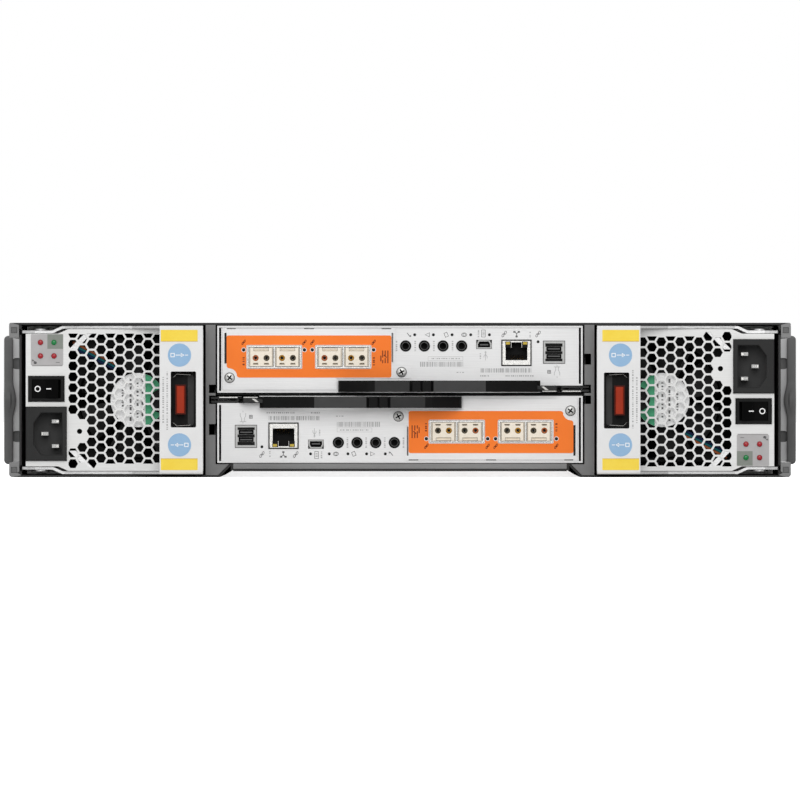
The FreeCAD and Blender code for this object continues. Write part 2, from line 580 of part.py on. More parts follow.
def honeycomb():
    """The outlines of the vent's hexagonal holes, cut straight at its edges and left out at its screw."""
    across = HEX_FLATS / math.sqrt(3)
    step_x = HEX_PITCH * math.sqrt(3) / 2
    outlines = []
    for i in range(int((VENT_X1 - HEX_X) / step_x) + 1):
        for j in range(int((VENT_Z1 - VENT_Z0) / HEX_PITCH) + 2):
            x = HEX_X + i * step_x
            z = HEX_Z + (j + (i % 2) / 2) * HEX_PITCH
            if x < PAD_X and abs(z - PAD_Z) < PAD_HALF:
                continue
            hexagon = []
            for k in range(6):
                turn = k * math.pi / 3
                hexagon.append((x + across * math.cos(turn), z + across * math.sin(turn)))
            floor = VENT_Z0 - HEX_PITCH / 2 if i in WHOLE_COLUMNS else VENT_Z0
            for axis, limit, above in ((1, floor, True), (1, VENT_Z1, False), (0, VENT_X0, True)):
                hexagon = clipped(hexagon, axis, limit, above)
            if len(hexagon) > 2 and max(p[1] for p in hexagon) - min(p[1] for p in hexagon) > 1.0:
                outlines.append(hexagon)
    return outlines


def psu_vent_grille():
    """The honeycomb part of the front sheet, in front of the fan."""
    x0 = PSU_X0 + COLUMN_WIDE
    wires = []
    for points in [clipped(neck_outline(0), 0, x0, True)] + honeycomb():
        corners = [Vector(x, FACE_Y, z) for x, z in points]
        wires.append(Part.makePolygon(corners + corners[:1]))
    sheet = Part.makeFace(wires, "Part::FaceMakerBullseye").extrude(Vector(0, FACE_SHEET, 0))
    return sheet.cut(rod_y(*VENT_SCREW, VENT_SCREW_R, 0, PSU_INSET + 1))


# ---- Power module: inlet and switch --------------------------------------------------------------
INLET_DEEP = 15.0
PIN_SETBACK = 5.0


def inlet_cavity():
    """Outline of the socket: a long rectangle on its side with two cut corners towards the earth pin."""
    ix0, ix1, iz0, iz1 = INLET
    x0, x1 = ix0 + 4.3, ix1 - 2.5
    z0, z1 = iz0 + 3.3, iz1 - 3.3
    cut_x, cut_z = 4.4, 6.0
    return [(x0, z0 + cut_z), (x0 + cut_x, z0), (x1, z0), (x1, z1), (x0 + cut_x, z1), (x0, z1 - cut_z)]


def psu_power_inlet():
    """The moulded mains inlet and its three blades."""
    ix0, ix1, iz0, iz1 = INLET
    front = FACE_Y - 2.0
    flange = box(ix0, ix1, front, FACE_Y, iz0, iz1)
    flange = flange.makeChamfer(0.6, [e for e in flange.Edges if abs(e.CenterOfMass.y - front) < TINY])
    inset = INLET_BODY_IN
    body = box(ix0 + inset, ix1 - inset, FACE_Y, FACE_Y + INLET_DEEP + 2.5, iz0 + inset, iz1 - inset)
    cavity = along_y(inlet_cavity(), front - 1, front + INLET_DEEP)
    moulding = fused([flange, body]).cut(cavity)
    middle = (iz0 + iz1) / 2
    x_live = ix1 - 6.6
    x_earth = x_live - 6.0
    blades = []
    for x, z in ((x_live, middle + 7), (x_live, middle - 7), (x_earth, middle)):
        blades.append(box(x - 2, x + 2, front + PIN_SETBACK, FACE_Y + INLET_DEEP + 8, z - 1, z + 1))
    moulding = moulding.cut(blades)
    return Part.makeCompound([moulding] + blades)


ROCKER_Y = FACE_Y + 1.0
ROCKER_TILT = 8.0
WINDOW_WIDE = 16.5
WINDOW_HIGH = 10.8


def psu_switch_frame():
    """The rim and body of the mains switch, hollow for the rocker."""
    sx, sz = SWITCH_MID
    front = FACE_Y - 1.6
    half_w, half_h = SWITCH_WIDE / 2, SWITCH_HIGH / 2
    rim = box(sx - half_w, sx + half_w, front, FACE_Y, sz - half_h, sz + half_h)
    rim = rim.makeChamfer(0.7, [e for e in rim.Edges if abs(e.CenterOfMass.y - front) < TINY])
    half_w, half_h = half_w - 1.2, half_h - 1.2
    body = box(sx - half_w, sx + half_w, FACE_Y, FACE_Y + 15, sz - half_h, sz + half_h)
    half_w, half_h = WINDOW_WIDE / 2, WINDOW_HIGH / 2
    well = box(sx - half_w, sx + half_w, front - 1, FACE_Y + 11, sz - half_h, sz + half_h)
    return fused([rim, body]).cut(well)


def psu_rocker():
    """The rocker, its two faces meeting in a shallow dip, tipped to the off side."""
    sx, sz = SWITCH_MID
    half = 7.4
    outline = [(-half, -4.2), (0, -3.2), (half, -4.2), (half, -1.0), (4.0, 6.0), (-4.0, 6.0), (-half, -1.0)]
    half_high = WINDOW_HIGH / 2 - 0.2
    rocker = along_z([(sx + x, ROCKER_Y + y) for x, y in outline], sz - half_high, sz + half_high)
    rocker.rotate(Vector(sx, ROCKER_Y, sz), Vector(0, 0, 1), -ROCKER_TILT)
    return rocker


# ---- Power module: handle, latch cup, release tab ------------------------------------------------
BAND_Y = -HANDLE_REACH
APERTURE = (PSU_X1 - 18.2, PSU_X1 - 3.8, PSU_MID_Z - 15.6, PSU_MID_Z + 16.2)


def arm_plan():
    """Plan of an arm: back from the band, across to the pivot, and on to the cam finger."""
    reach = 6.5
    x_band = PSU_X1 - HANDLE_BAND
    finger = []
    for degrees in range(160, 209, 8):
        a = math.radians(degrees)
        finger.append((PIVOT_X + FINGER_R * math.cos(a), PIVOT_DEEP + FINGER_R * math.sin(a)))
    outline = [(PSU_X1, BAND_Y), (PSU_X1, PIVOT_DEEP - 4), (PSU_X1 - 6, PIVOT_DEEP + reach)]
    outline += [(PIVOT_X - 3, PIVOT_DEEP + reach)] + finger + [(PIVOT_X - 3, PIVOT_DEEP - reach)]
    outline += [(PIVOT_X + 14, PIVOT_DEEP - reach), (x_band - 16, PIVOT_DEEP - reach - 5)]
    return outline + [(x_band, BAND_Y + 9), (x_band, BAND_Y)]


def psu_handle():
    """The sheet handle: a band with a window for the latch, and two joggled arms that end in cam fingers."""
    x_band = PSU_X1 - HANDLE_BAND
    strip = along_y(bent_sheet(arm_path(PSU_X1, -OUTER), HANDLE_SHEET), BAND_Y, NECK_DEEP)
    plan = along_z(arm_plan(), PSU_Z0, PSU_Z1)
    hole = rod_z(PIVOT_X, PIVOT_DEEP, PIVOT_R + PIVOT_FIT, PSU_Z0, PSU_Z1 + 1)
    arm = strip.common(plan).cut(hole)
    low_arm = arm.mirror(Vector(0, 0, PSU_MID_Z), Vector(0, 0, 1))
    band = box(x_band, PSU_X1, BAND_Y, BAND_Y + HANDLE_SHEET, PSU_Z0, PSU_Z1)
    handle = fused([band, arm, low_arm])
    bends = [
        e for e in handle.Edges
        if abs(e.CenterOfMass.y - BAND_Y) < TINY and e.BoundBox.XLength > HANDLE_BAND - 1
    ]
    handle = handle.makeFillet(HANDLE_SHEET, bends)
    ax0, ax1, az0, az1 = APERTURE
    return handle.cut(rounded_y(ax0, ax1, az0, az1, 0.8, BAND_Y - 1, BAND_Y + HANDLE_SHEET + 1))


CUP_DEEP = 12.0
CUP_WALL = 1.2
CUP_FLOOR = 1.5
TAB_TRAVEL = 3.5
TAB = (PSU_X1 - 15.2, PSU_X1 - 10.1, PSU_MID_Z - 8.2, PSU_MID_Z + 8.7)
STEM = (TAB[0] + 0.3, TAB[0] + 1.8, TAB[2] + 3, TAB[3] - 3)
TAB_FIT = 0.3


def psu_latch_cup():
    """The moulded cup behind the band's window, with a slot in its floor for the release tab."""
    ax0, ax1, az0, az1 = APERTURE
    y0, y1 = BAND_Y + HANDLE_SHEET, BAND_Y + HANDLE_SHEET + CUP_DEEP
    w = CUP_WALL
    cup = rounded_y(ax0 - w, ax1 + w, az0 - w, az1 + w, 2.0, y0, y1)
    well = box(ax0, ax1, y0 - 1, y1 - CUP_FLOOR, az0, az1)
    sx0, sx1, sz0, sz1 = STEM
    fit = TAB_FIT
    slot = box(sx0 - fit, sx1 + fit + TAB_TRAVEL, y0, y1 + 1, sz0 - fit, sz1 + fit)
    return cup.cut([well, slot])


def psu_release_tab():
    """The coloured release tab, a ribbed block on a stem that passes through the cup."""
    tx0, tx1, tz0, tz1 = TAB
    y0 = BAND_Y + 1.2
    floor_y = BAND_Y + HANDLE_SHEET + CUP_DEEP - CUP_FLOOR
    block = box(tx0, tx1, y0, floor_y - TAB_FIT, tz0, tz1)
    block = block.makeFillet(1.0, [e for e in block.Edges if abs(e.CenterOfMass.y - y0) < TINY])
    under_y = floor_y + CUP_FLOOR
    sx0, sx1, sz0, sz1 = STEM
    stem = box(sx0, sx1, floor_y - TAB_FIT, under_y + 1.2, sz0, sz1)
    foot = box(tx0 - 0.5, tx1 + 0.5, under_y + TAB_FIT, under_y + 1.8, tz0 + 1, tz1 - 1)
    return fused([block, stem, foot])


# ---- Power module: fan and power board -----------------------------------------------------------
FAN_SIZE = 70.0
FAN_DEEP = 38.0
FAN_X = PSU_X0 + 63.6
FAN_Y = PSU_INSET + 4.0
FAN_BORE_R = 33.6
BLADE_GAP = 0.8
HUB_R = 15.9
HUB_GAP = 1.0
BASE_THICK = 3.0
BLADES = 7
FAN_BOLT_IN = 4.2
FAN_BOLT_R = 1.9
FAN_PIN_R = 1.5
FAN_PIN_LONG = 12.0
FAN_PIN_FIT = 0.06
LEAD_R = 0.75
LEADS = 3
LEADS_X = FAN_X - FAN_SIZE / 2 - LEAD_R - 0.6
LEADS_Z = PSU_MID_Z + 31.0


def psu_fan_frame():
    """The square fan housing with its round duct, the motor base on four struts, and the fan's leads."""
    half = FAN_SIZE / 2
    y1 = FAN_Y + FAN_DEEP
    shell = rounded_y(FAN_X - half, FAN_X + half, PSU_MID_Z - half, PSU_MID_Z + half, 4.0, FAN_Y, y1)
    shell = shell.cut(rod_y(FAN_X, PSU_MID_Z, FAN_BORE_R, FAN_Y - 1, y1 + 1))
    base = rod_y(FAN_X, PSU_MID_Z, HUB_R, FAN_Y, FAN_Y + BASE_THICK)
    pieces = [shell, base]
    for i in range(4):
        strut = box(HUB_R - 1, FAN_BORE_R + 1, FAN_Y, FAN_Y + BASE_THICK, -1.2, 1.2)
        strut.rotate(Vector(0, 0, 0), Vector(0, 1, 0), 25 + i * 90)
        strut.translate(Vector(FAN_X, 0, PSU_MID_Z))
        pieces.append(strut)
    pin = rod_y(FAN_X, PSU_MID_Z, FAN_PIN_R, FAN_Y + BASE_THICK, FAN_Y + FAN_PIN_LONG)
    frame = fused(pieces + [pin])
    bolt_at = half - FAN_BOLT_IN
    bolts = [(FAN_X + i * bolt_at, PSU_MID_Z + j * bolt_at) for i in (-1, 1) for j in (-1, 1)]
    frame = frame.cut([rod_y(x, z, FAN_BOLT_R, FAN_Y - 1, y1 + 1) for x, z in bolts])
    return Part.makeCompound([frame] + fan_leads())


def fan_leads():
    """The leads of the fan, side by side: from the motor base over the housing's edge and on to the board."""
    y = FAN_Y - LEAD_R - 0.1
    leads = []
    for i in range(LEADS):
        z = LEADS_Z + (i - (LEADS - 1) / 2) * (2 * LEAD_R + 0.1)
        points = [Vector(FAN_X - 13.0, y, z - 12.0), Vector(LEADS_X + 1.2, y, z - 0.5)]
        points += [Vector(LEADS_X, y + 1.6, z), Vector(LEADS_X, POWER_BOARD_Y + 3.0, z)]
        leads.append(lead(points, LEAD_R))
    return leads


def blade(index):
    """One fan blade: a curved strip that twists from the hub to the tip, between two ruled faces."""
    r0, r1 = HUB_R - 1.0, FAN_BORE_R - BLADE_GAP
    sections = []
    for r, pitch, chord in ((r0, 48, 18.0), (r1, 26, 24.0)):
        p = math.radians(pitch)
        half_w, half_y = chord / 2 * math.cos(p), chord / 2 * math.sin(p)
        camber = 2.0
        a = Vector(r, -half_y, -half_w)
        b = Vector(r, half_y, half_w)
        front = Part.Arc(a, Vector(r, -camber, camber * 0.5), b).toShape()
        back = Part.Arc(b, Vector(r, -camber + 1.4, camber * 0.5 + 0.5), a).toShape()
        sections.append(Part.Wire([front, back]))
    solid = Part.makeLoft(sections, True, True)
    solid = solid.common(rod_y(0, 0, r1, -20, 20))
    solid.rotate(Vector(0, 0, 0), Vector(0, 1, 0), index * 360 / BLADES)
    return solid


def psu_fan_rotor():
    """The hub cup and its blades, running on the pin of the motor base."""
    y0 = FAN_Y + BASE_THICK + HUB_GAP
    y1 = FAN_Y + FAN_DEEP - 3.0
    hub = rod_y(0, 0, HUB_R, y0, y1)
    hub = hub.cut(rod_y(0, 0, FAN_PIN_R + FAN_PIN_FIT, y0 - 1, FAN_Y + FAN_PIN_LONG + 0.5))
    middle = (y0 + y1) / 2
    blades = [blade(i) for i in range(BLADES)]
    for b in blades:
        b.translate(Vector(0, middle, 0))
    rotor = fused([hub] + blades)
    rotor.translate(Vector(FAN_X, 0, PSU_MID_Z))
    return rotor


POWER_BOARD_Y = FAN_Y + FAN_DEEP + 6.0
POWER_BOARD_HIGH = 6.0  # board and the parts' feet under it
POWER_BOARD_FIT = 0.3
SINKS_AT = (12.0, 150.0)  # from the front of the board
SINK_BASE = 8.0
SINK_HIGH = 62.0
FINS = 6
FIN_PITCH = 14.0
FIN_THICK = 2.0
FIN_DEEP = 36.0
TRANSFORMER = (66.0, 130.0, 54.0)  # from, to and height
CHOKE = (206.0, 250.0, 48.0)
PSU_PLUG_IN = 30.0
PSU_PLUG_Z = (12.5, 21.5)


def psu_power_board():
    """The converter on its board: heat sinks, transformer, choke and plug; and the lamp panel by itself."""
    x0, x1 = PSU_X0 + PSU_WALL + 1.0, PSU_X1 - PSU_WALL - 1.0
    z0 = PSU_Z0 + PSU_WALL + POWER_BOARD_FIT
    y0, y1 = POWER_BOARD_Y, PSU_END - PSU_WALL - 3
    top = z0 + POWER_BOARD_HIGH
    board = box(x0, x1, y0, y1, z0, top)
    sinks = []
    for y in (y0 + at for at in SINKS_AT):
        back = y + SINK_BASE
        base = box(x0 + 6, x1 - 6, y, back, top, top + SINK_HIGH)
        starts = [x0 + 10 + i * FIN_PITCH for i in range(FINS)]
        fins = [box(x, x + FIN_THICK, back, back + FIN_DEEP, top, top + SINK_HIGH) for x in starts]
        sinks.append(fused([base] + fins))
    transformer = box(x0 + 10, x1 - 14, y0 + TRANSFORMER[0], y0 + TRANSFORMER[1], top, top + TRANSFORMER[2])
    choke = box(x0 + 8, x1 - 8, y0 + CHOKE[0], y0 + CHOKE[1], top, top + CHOKE[2])
    plug_y1 = PSU_END + PLUG_LONG - PLUG_FIT
    plug_z0, plug_z1 = (PSU_Z0 + z for z in PSU_PLUG_Z)
    plug = box(PSU_X0 + PSU_PLUG_IN, PSU_X1 - PSU_PLUG_IN, y1 - 20, plug_y1, plug_z0, plug_z1)
    lx, lz = LAMP_MID
    half = LAMP_PANEL / 2
    panel = box(lx - half, lx + half, FACE_Y + 0.2, FACE_Y + 4, lz - half, lz + half)
    rim = box(lx - half - 2, lx + half + 2, PSU_INSET + PART_FIT, FACE_Y + 4, lz - half - 2, lz + half)
    lamps = [rod_y(x, z, LAMP_R, FACE_Y - 0.6, FACE_Y + 1) for x, z in LAMPS]
    return Part.makeCompound([fused([board, transformer, choke, plug] + sinks), fused([panel, rim] + lamps)])


# ---- Controller: canister ------------------------------------------------------------------------
CAN_FACE_Y = CAN_INSET + 1.0  # front of the main face sheet; the host plate lies on it
CAN_FACE = 1.0
CAN_SLIT = 1.2
LEVER_PIVOT_X = CAN_X0 + 12.0
LEVER_PIVOT_Y = 8.0
LEVER_FINGER_R = 16.2
POCKET_X = CAN_X0 + 24.0
POCKET_DEEP = 27.0
POCKET_Z = CAN_TOP - POCKET_HIGH
LEVER_ARM = 3.4
LEVER_FIT = 0.3


def port(x0, x1, z0, z1):
    """A port's place on the controller face, from the canister's left side and underside."""
    return CAN_X0 + x0, CAN_X0 + x1, CAN_Z + z0, CAN_Z + z1


SAS_PORT = port(10.3, 22.3, 8.8, 21.3)
LAN_PORT = port(29.2, 46.2, 8.0, 22.8)
USB_PORT = port(51.9, 60.4, 8.2, 13.0)
JACKS = [(CAN_X0 + 68.9 + 10.63 * i, CAN_Z + 11.5) for i in range(4)]
JACK_R = 3.1
JACK_BORE_R = 1.8
CAGES = [port(120.8, 151.8, 11.5, 24.0), port(160.2, 190.9, 11.5, 24.0)]
HOST_TAB_X0 = CAN_X0 + 97.8
HOST_TAB_Z0 = CAN_Z + 21.8
HOST_X0 = CAN_X0 + 106.8
HOST_X1 = CAN_X1 - 3.0
HOST_Z0 = CAN_Z + CAN_WALL + PART_FIT
HOST_Z1 = CAN_Z + 30.0
HOST_TOP = CAN_Z + 36.4
HOST_TOP_X = CAN_X0 + 140.0
HOST_SCREWS = [(CAN_X0 + 103.1, CAN_Z + 26.4), (CAN_X0 + 201.0, CAN_Z + 29.6)]
HOST_SCREW_R = 2.6


def grown(rect, by):
    """A rectangle (x0, x1, z0, z1) moved out by an amount on each side."""
    x0, x1, z0, z1 = rect
    return x0 - by, x1 + by, z0 - by, z1 + by


def slab(rect, y0, y1):
    """A block along Y whose cross-section is a rectangle (x0, x1, z0, z1)."""
    x0, x1, z0, z1 = rect
    return box(x0, x1, y0, y1, z0, z1)


def can_pocket():
    """The corner of the canister that is cut out for the lever, its pivot and its finger."""
    return box(CAN_X0 - 1, POCKET_X, 0, POCKET_DEEP, POCKET_Z, CAN_TOP + 1)


def controller_tray():
    """Floor, sides and port face of a canister, with the shelf that carries the lever's pin."""
    w = CAN_WALL
    floor = box(CAN_X0, CAN_X1, CAN_INSET, CAN_END, CAN_Z, CAN_Z + w)
    wall_top = CAN_TOP - w
    left = box(CAN_X0, CAN_X0 + w, CAN_INSET, CAN_END, CAN_Z, wall_top)
    right = box(CAN_X1 - w, CAN_X1, CAN_INSET, CAN_END, CAN_Z, wall_top)
    fx0, fx1 = CAN_X0 + w + CAN_SLIT, CAN_X1 - w - CAN_SLIT
    face = box(fx0, fx1, CAN_FACE_Y, CAN_FACE_Y + CAN_FACE, CAN_Z, wall_top)
    back_rim = box(CAN_X0, CAN_X1, CAN_END - w, CAN_END, CAN_Z, CAN_Z + 10)
    ledge = box(CAN_X0, POCKET_X + 2, CAN_FACE_Y, POCKET_DEEP + w, POCKET_Z - w, POCKET_Z)
    stop = box(POCKET_X, POCKET_X + w, CAN_FACE_Y, POCKET_DEEP + w, POCKET_Z - w, wall_top)
    rear_stop = box(CAN_X0, POCKET_X + w, POCKET_DEEP, POCKET_DEEP + w, POCKET_Z - w, wall_top)
    pin = rod_z(LEVER_PIVOT_X, LEVER_PIVOT_Y, PIVOT_R, POCKET_Z - w, POCKET_Z + LEVER_ARM + LEVER_FIT)
    tray = fused([floor, left, right, face, back_rim, ledge, stop, rear_stop]).cut(can_pocket())
    fit = PART_FIT
    y0, y1 = CAN_FACE_Y - 1, CAN_FACE_Y + CAN_FACE + 1
    tools = [slab(grown(r, fit), y0, y1) for r in (SAS_PORT, LAN_PORT, USB_PORT)]
    tools += [rod_y(x, z, JACK_R + fit, y0, y1) for x, z in JACKS]
    tools += [slab(grown(r, fit + 0.6), y0, y1) for r in CAGES]
    return fused([tray.cut(tools), pin])


def controller_cover():
    """The flat cover of a canister, cut away over the lever."""
    w = CAN_WALL
    sheet = box(CAN_X0, CAN_X1, CAN_INSET + 1, CAN_END, CAN_TOP - w, CAN_TOP)
    turned = box(CAN_X0 + 40, CAN_X1 - 40, CAN_END - w, CAN_END, CAN_TOP - 9, CAN_TOP)
    vents = []
    for i in range(8):
        x = CAN_X0 + 22 + i * 21
        vents.append(box(x, x + 14, CAN_END - 60, CAN_END - 30, CAN_TOP - 2, CAN_TOP + 1))
    return fused([sheet, turned]).cut([can_pocket()] + vents)


def jack(x, z):
    """One round service jack: a flanged barrel with a blind bore."""
    barrel = rod_y(x, z, JACK_R, CAN_FACE_Y - 0.4, CAN_FACE_Y + 11)
    return barrel.cut(rod_y(x, z, JACK_BORE_R, CAN_FACE_Y - 1, CAN_FACE_Y + 9))


def lan_jack():
    """The network jack: a metal shell round a stepped socket with its key slot below."""
    x0, x1, z0, z1 = LAN_PORT
    y0 = CAN_FACE_Y - 0.5
    shell = slab(LAN_PORT, y0, y0 + 16)
    mouth = box(x0 + 2.3, x1 - 2.3, y0 - 1, y0 + 13, z0 + 4.4, z1 - 3.2)
    key = box(x0 + 5.6, x1 - 5.6, y0 - 1, y0 + 13, z0 + 1.4, z0 + 5)
    return shell.cut([mouth, key])


def sas_jack():
    """The expansion port: a metal cage with two flat slots one above the other."""
    x0, x1, z0, _ = SAS_PORT
    y0 = CAN_FACE_Y - 0.5
    cage = slab(SAS_PORT, y0, y0 + 30)
    slots = [box(x0 + 1.8, x1 - 1.6, y0 - 1, y0 + 12, z, z + 2.5) for z in (z0 + 3.2, z0 + 7.4)]
    return cage.cut(slots)


def usb_jack():
    """The small serial socket, narrower below than above."""
    x0, x1, z0, z1 = USB_PORT
    y0 = CAN_FACE_Y - 0.3
    taper = 1.0
    outline = [(x0 + taper, z0), (x1 - taper, z0), (x1, z0 + 2.2), (x1, z1), (x0, z1), (x0, z0 + 2.2)]
    middle_x, middle_z = (x0 + x1) / 2, (z0 + z1) / 2
    inner = [(middle_x + (x - middle_x) * 0.82, middle_z + (z - middle_z) * 0.7) for x, z in outline]
    return along_y(outline, y0, y0 + 10).cut(along_y(inner, y0 - 1, y0 + 7))


BOARD_FOOT = 8.0
BOARD_FOOT_IN = 40.0
CHIP_SINK_Y = (150.0, 220.0)
CHIP_SINK_WIDE = 60.0
CHIP_SINK_BASE = 6.0
CHIP_SINK_HIGH = 24.0
CHIP_FINS = 7
CHIP_FIN = 2.4
CAN_PLUG_HALF = 38.0
CAN_PLUG_Z = (14.6, 25.4)
CAGE_SHEET = 0.7
CAGE_PROUD = 2.0
CAGE_DEEP = 50.0
NOSE_PROUD = 3.5
NOSE_PLAY = 0.3


def cage_bays(rect):
    """The two bays of a double cage, from x to x: a wall of sheet at each side and one between them."""
    middle = (rect[0] + rect[1]) / 2
    return [(rect[0] + CAGE_SHEET, middle - CAGE_SHEET / 2), (middle + CAGE_SHEET / 2, rect[1] - CAGE_SHEET)]


def host_cage(rect):
    """A double cage for two optical transceivers."""
    y0 = CAN_FACE_Y - CAGE_PROUD
    y1 = y0 + CAGE_DEEP
    z0, z1 = rect[2] + CAGE_SHEET, rect[3] - CAGE_SHEET
    return slab(rect, y0, y1).cut([box(a, b, y0 - 1, y1 - 2, z0, z1) for a, b in cage_bays(rect)])


def controller_board():
    """The main board with its jacks, heat sinks and plug, and the host cages on their card."""
    z0 = CAN_Z + CAN_WALL + 1.5
    y_back = CAN_END - 8
    board = box(CAN_X0 + 3, CAN_X1 - 3, CAN_FACE_Y + 2, y_back, z0, z0 + 1.6)
    feet = []
    for x in (CAN_X0 + 10, CAN_X1 - 10 - BOARD_FOOT):
        for y in (BOARD_FOOT_IN, y_back - BOARD_FOOT_IN):
            feet.append(box(x, x + BOARD_FOOT, y, y + BOARD_FOOT, CAN_Z + CAN_WALL, z0))
    jacks = [lan_jack(), sas_jack(), usb_jack()] + [jack(x, z) for x, z in JACKS]
    low = z0 + 1.6
    posts = []
    for x0, x1, bottom, _ in (SAS_PORT, LAN_PORT, USB_PORT):
        posts.append(box(x0 + 0.5, x1 - 0.5, CAN_FACE_Y + 4, CAN_FACE_Y + 9, low, bottom + 0.5))
    for x, z in JACKS:
        posts.append(box(x - 2.5, x + 2.5, CAN_FACE_Y + 3, CAN_FACE_Y + 10, low, z - 1.9))
    card_z = CAGES[0][2] - 1.6
    card = box(CAGES[0][0] - 4, CAGES[1][1] + 4, CAN_FACE_Y + 3, CAN_FACE_Y + 90, card_z, CAGES[0][2])
    for x in (CAGES[0][0], CAGES[1][1] - 5):
        posts.append(box(x, x + 5, CAN_FACE_Y + 80, CAN_FACE_Y + 85, low, card_z))
    cages = [host_cage(rect) for rect in CAGES]
    sinks = []
    sink_y0, sink_y1 = CHIP_SINK_Y
    for x in (CAN_X0 + 30, CAN_X0 + 120):
        base = box(x, x + CHIP_SINK_WIDE, sink_y0, sink_y1, low, low + CHIP_SINK_BASE)
        pitch = (CHIP_SINK_WIDE - CHIP_FIN) / (CHIP_FINS - 1)
        starts = [x + i * pitch for i in range(CHIP_FINS)]
        fin_z0, fin_z1 = low + CHIP_SINK_BASE, low + CHIP_SINK_HIGH
        fins = [box(a, a + CHIP_FIN, sink_y0, sink_y1, fin_z0, fin_z1) for a in starts]
        sinks.append(fused([base] + fins))
    plug_z0, plug_z1 = (CAN_Z + z for z in CAN_PLUG_Z)
    half = CAN_PLUG_HALF
    plug = box(-half, half, y_back - 12, CAN_END + PLUG_LONG - PLUG_FIT, plug_z0, plug_z1)
    plug_post = box(-half + 8, half - 8, y_back - 12, y_back - 4, low, plug_z0)
    return fused([board, card, plug, plug_post] + feet + posts + jacks + cages + sinks)


def host_plate():
    """The host card's face sheet over the right half of the face, with a tab on its left, and two screws."""
    y0, y1 = CAN_FACE_Y - 0.8, CAN_FACE_Y
    outline = [(HOST_X0, HOST_Z0), (HOST_X1, HOST_Z0), (HOST_X1, HOST_TOP), (HOST_TOP_X, HOST_TOP)]
    outline += [(HOST_TOP_X, HOST_Z1), (HOST_TAB_X0, HOST_Z1), (HOST_TAB_X0, HOST_TAB_Z0 + 2)]
    outline += [(HOST_TAB_X0 + 2, HOST_TAB_Z0), (HOST_X0, HOST_TAB_Z0)]
    plate = along_y(outline, y0, y1)
    tools = [slab(grown(r, PART_FIT), y0 - 1, y1 + 1) for r in CAGES]
    for x in (HOST_X0 + 1.2, HOST_X1 - 1.4):
        tools.append(box(x - 0.5, x + 0.5, y0 - 1, y1 + 1, HOST_Z0 + 3.2, HOST_Z0 + 20.4))
    heads = [rod_y(x, z, HOST_SCREW_R, y0 - 1.2, y0) for x, z in HOST_SCREWS]
    return Part.makeCompound([plate.cut(tools)] + heads)


def transceiver(x0, x1, z0, z1):
    """One optical transceiver: a long body, and a nose with two square sockets, each keyed above."""
    nose_y = CAN_FACE_Y - NOSE_PROUD
    play = NOSE_PLAY
    body = box(x0 + play, x1 - play, nose_y, CAN_FACE_Y + CAGE_DEEP - 6, z0 + play, z1 - play)
    middle, level = (x0 + x1) / 2, (z0 + z1) / 2 + 0.6
    tools = []
    for side in (-1, 1):
        x = middle + side * 3.1
        tools.append(box(x - 2.3, x + 2.3, nose_y - 1, nose_y + 3.2, level - 2.3, level + 2.3))
        tools.append(box(x - 1.3, x + 1.3, nose_y - 1, nose_y + 2.0, level + 2.8, level + 3.6))
    tools.append(box(middle - 3.8, middle + 3.8, nose_y - 1, nose_y + 1.0, z0 + 0.9, z0 + 2.0))
    return body.cut(tools)


def transceivers():
    """The four transceivers in their cages, with half a millimetre of play."""
    pieces = []
    for rect in CAGES:
        z0, z1 = rect[2] + CAGE_SHEET, rect[3] - CAGE_SHEET
        pieces += [transceiver(x0, x1, z0, z1) for x0, x1 in cage_bays(rect)]
    return Part.makeCompound(pieces)


# ---- Controller: lever and catch -----------------------------------------------------------------
GRIP_HIGH = 6.5
GRIP_TOP = CAN_TOP - 0.4
GRIP_REACH = 17.0
GRIP_THICK = 4.0
GRIP_END = 9.0
HOOK_GAP = 0.8
HOOK_THICK = 1.6
HOOK_REACH = 2.6
CATCH_GAP = 1.7
LEVER_END = CAN_X0 + 96.9
CATCH_X0 = LEVER_END + CATCH_GAP
CATCH_X1 = CATCH_X0 + 40.5


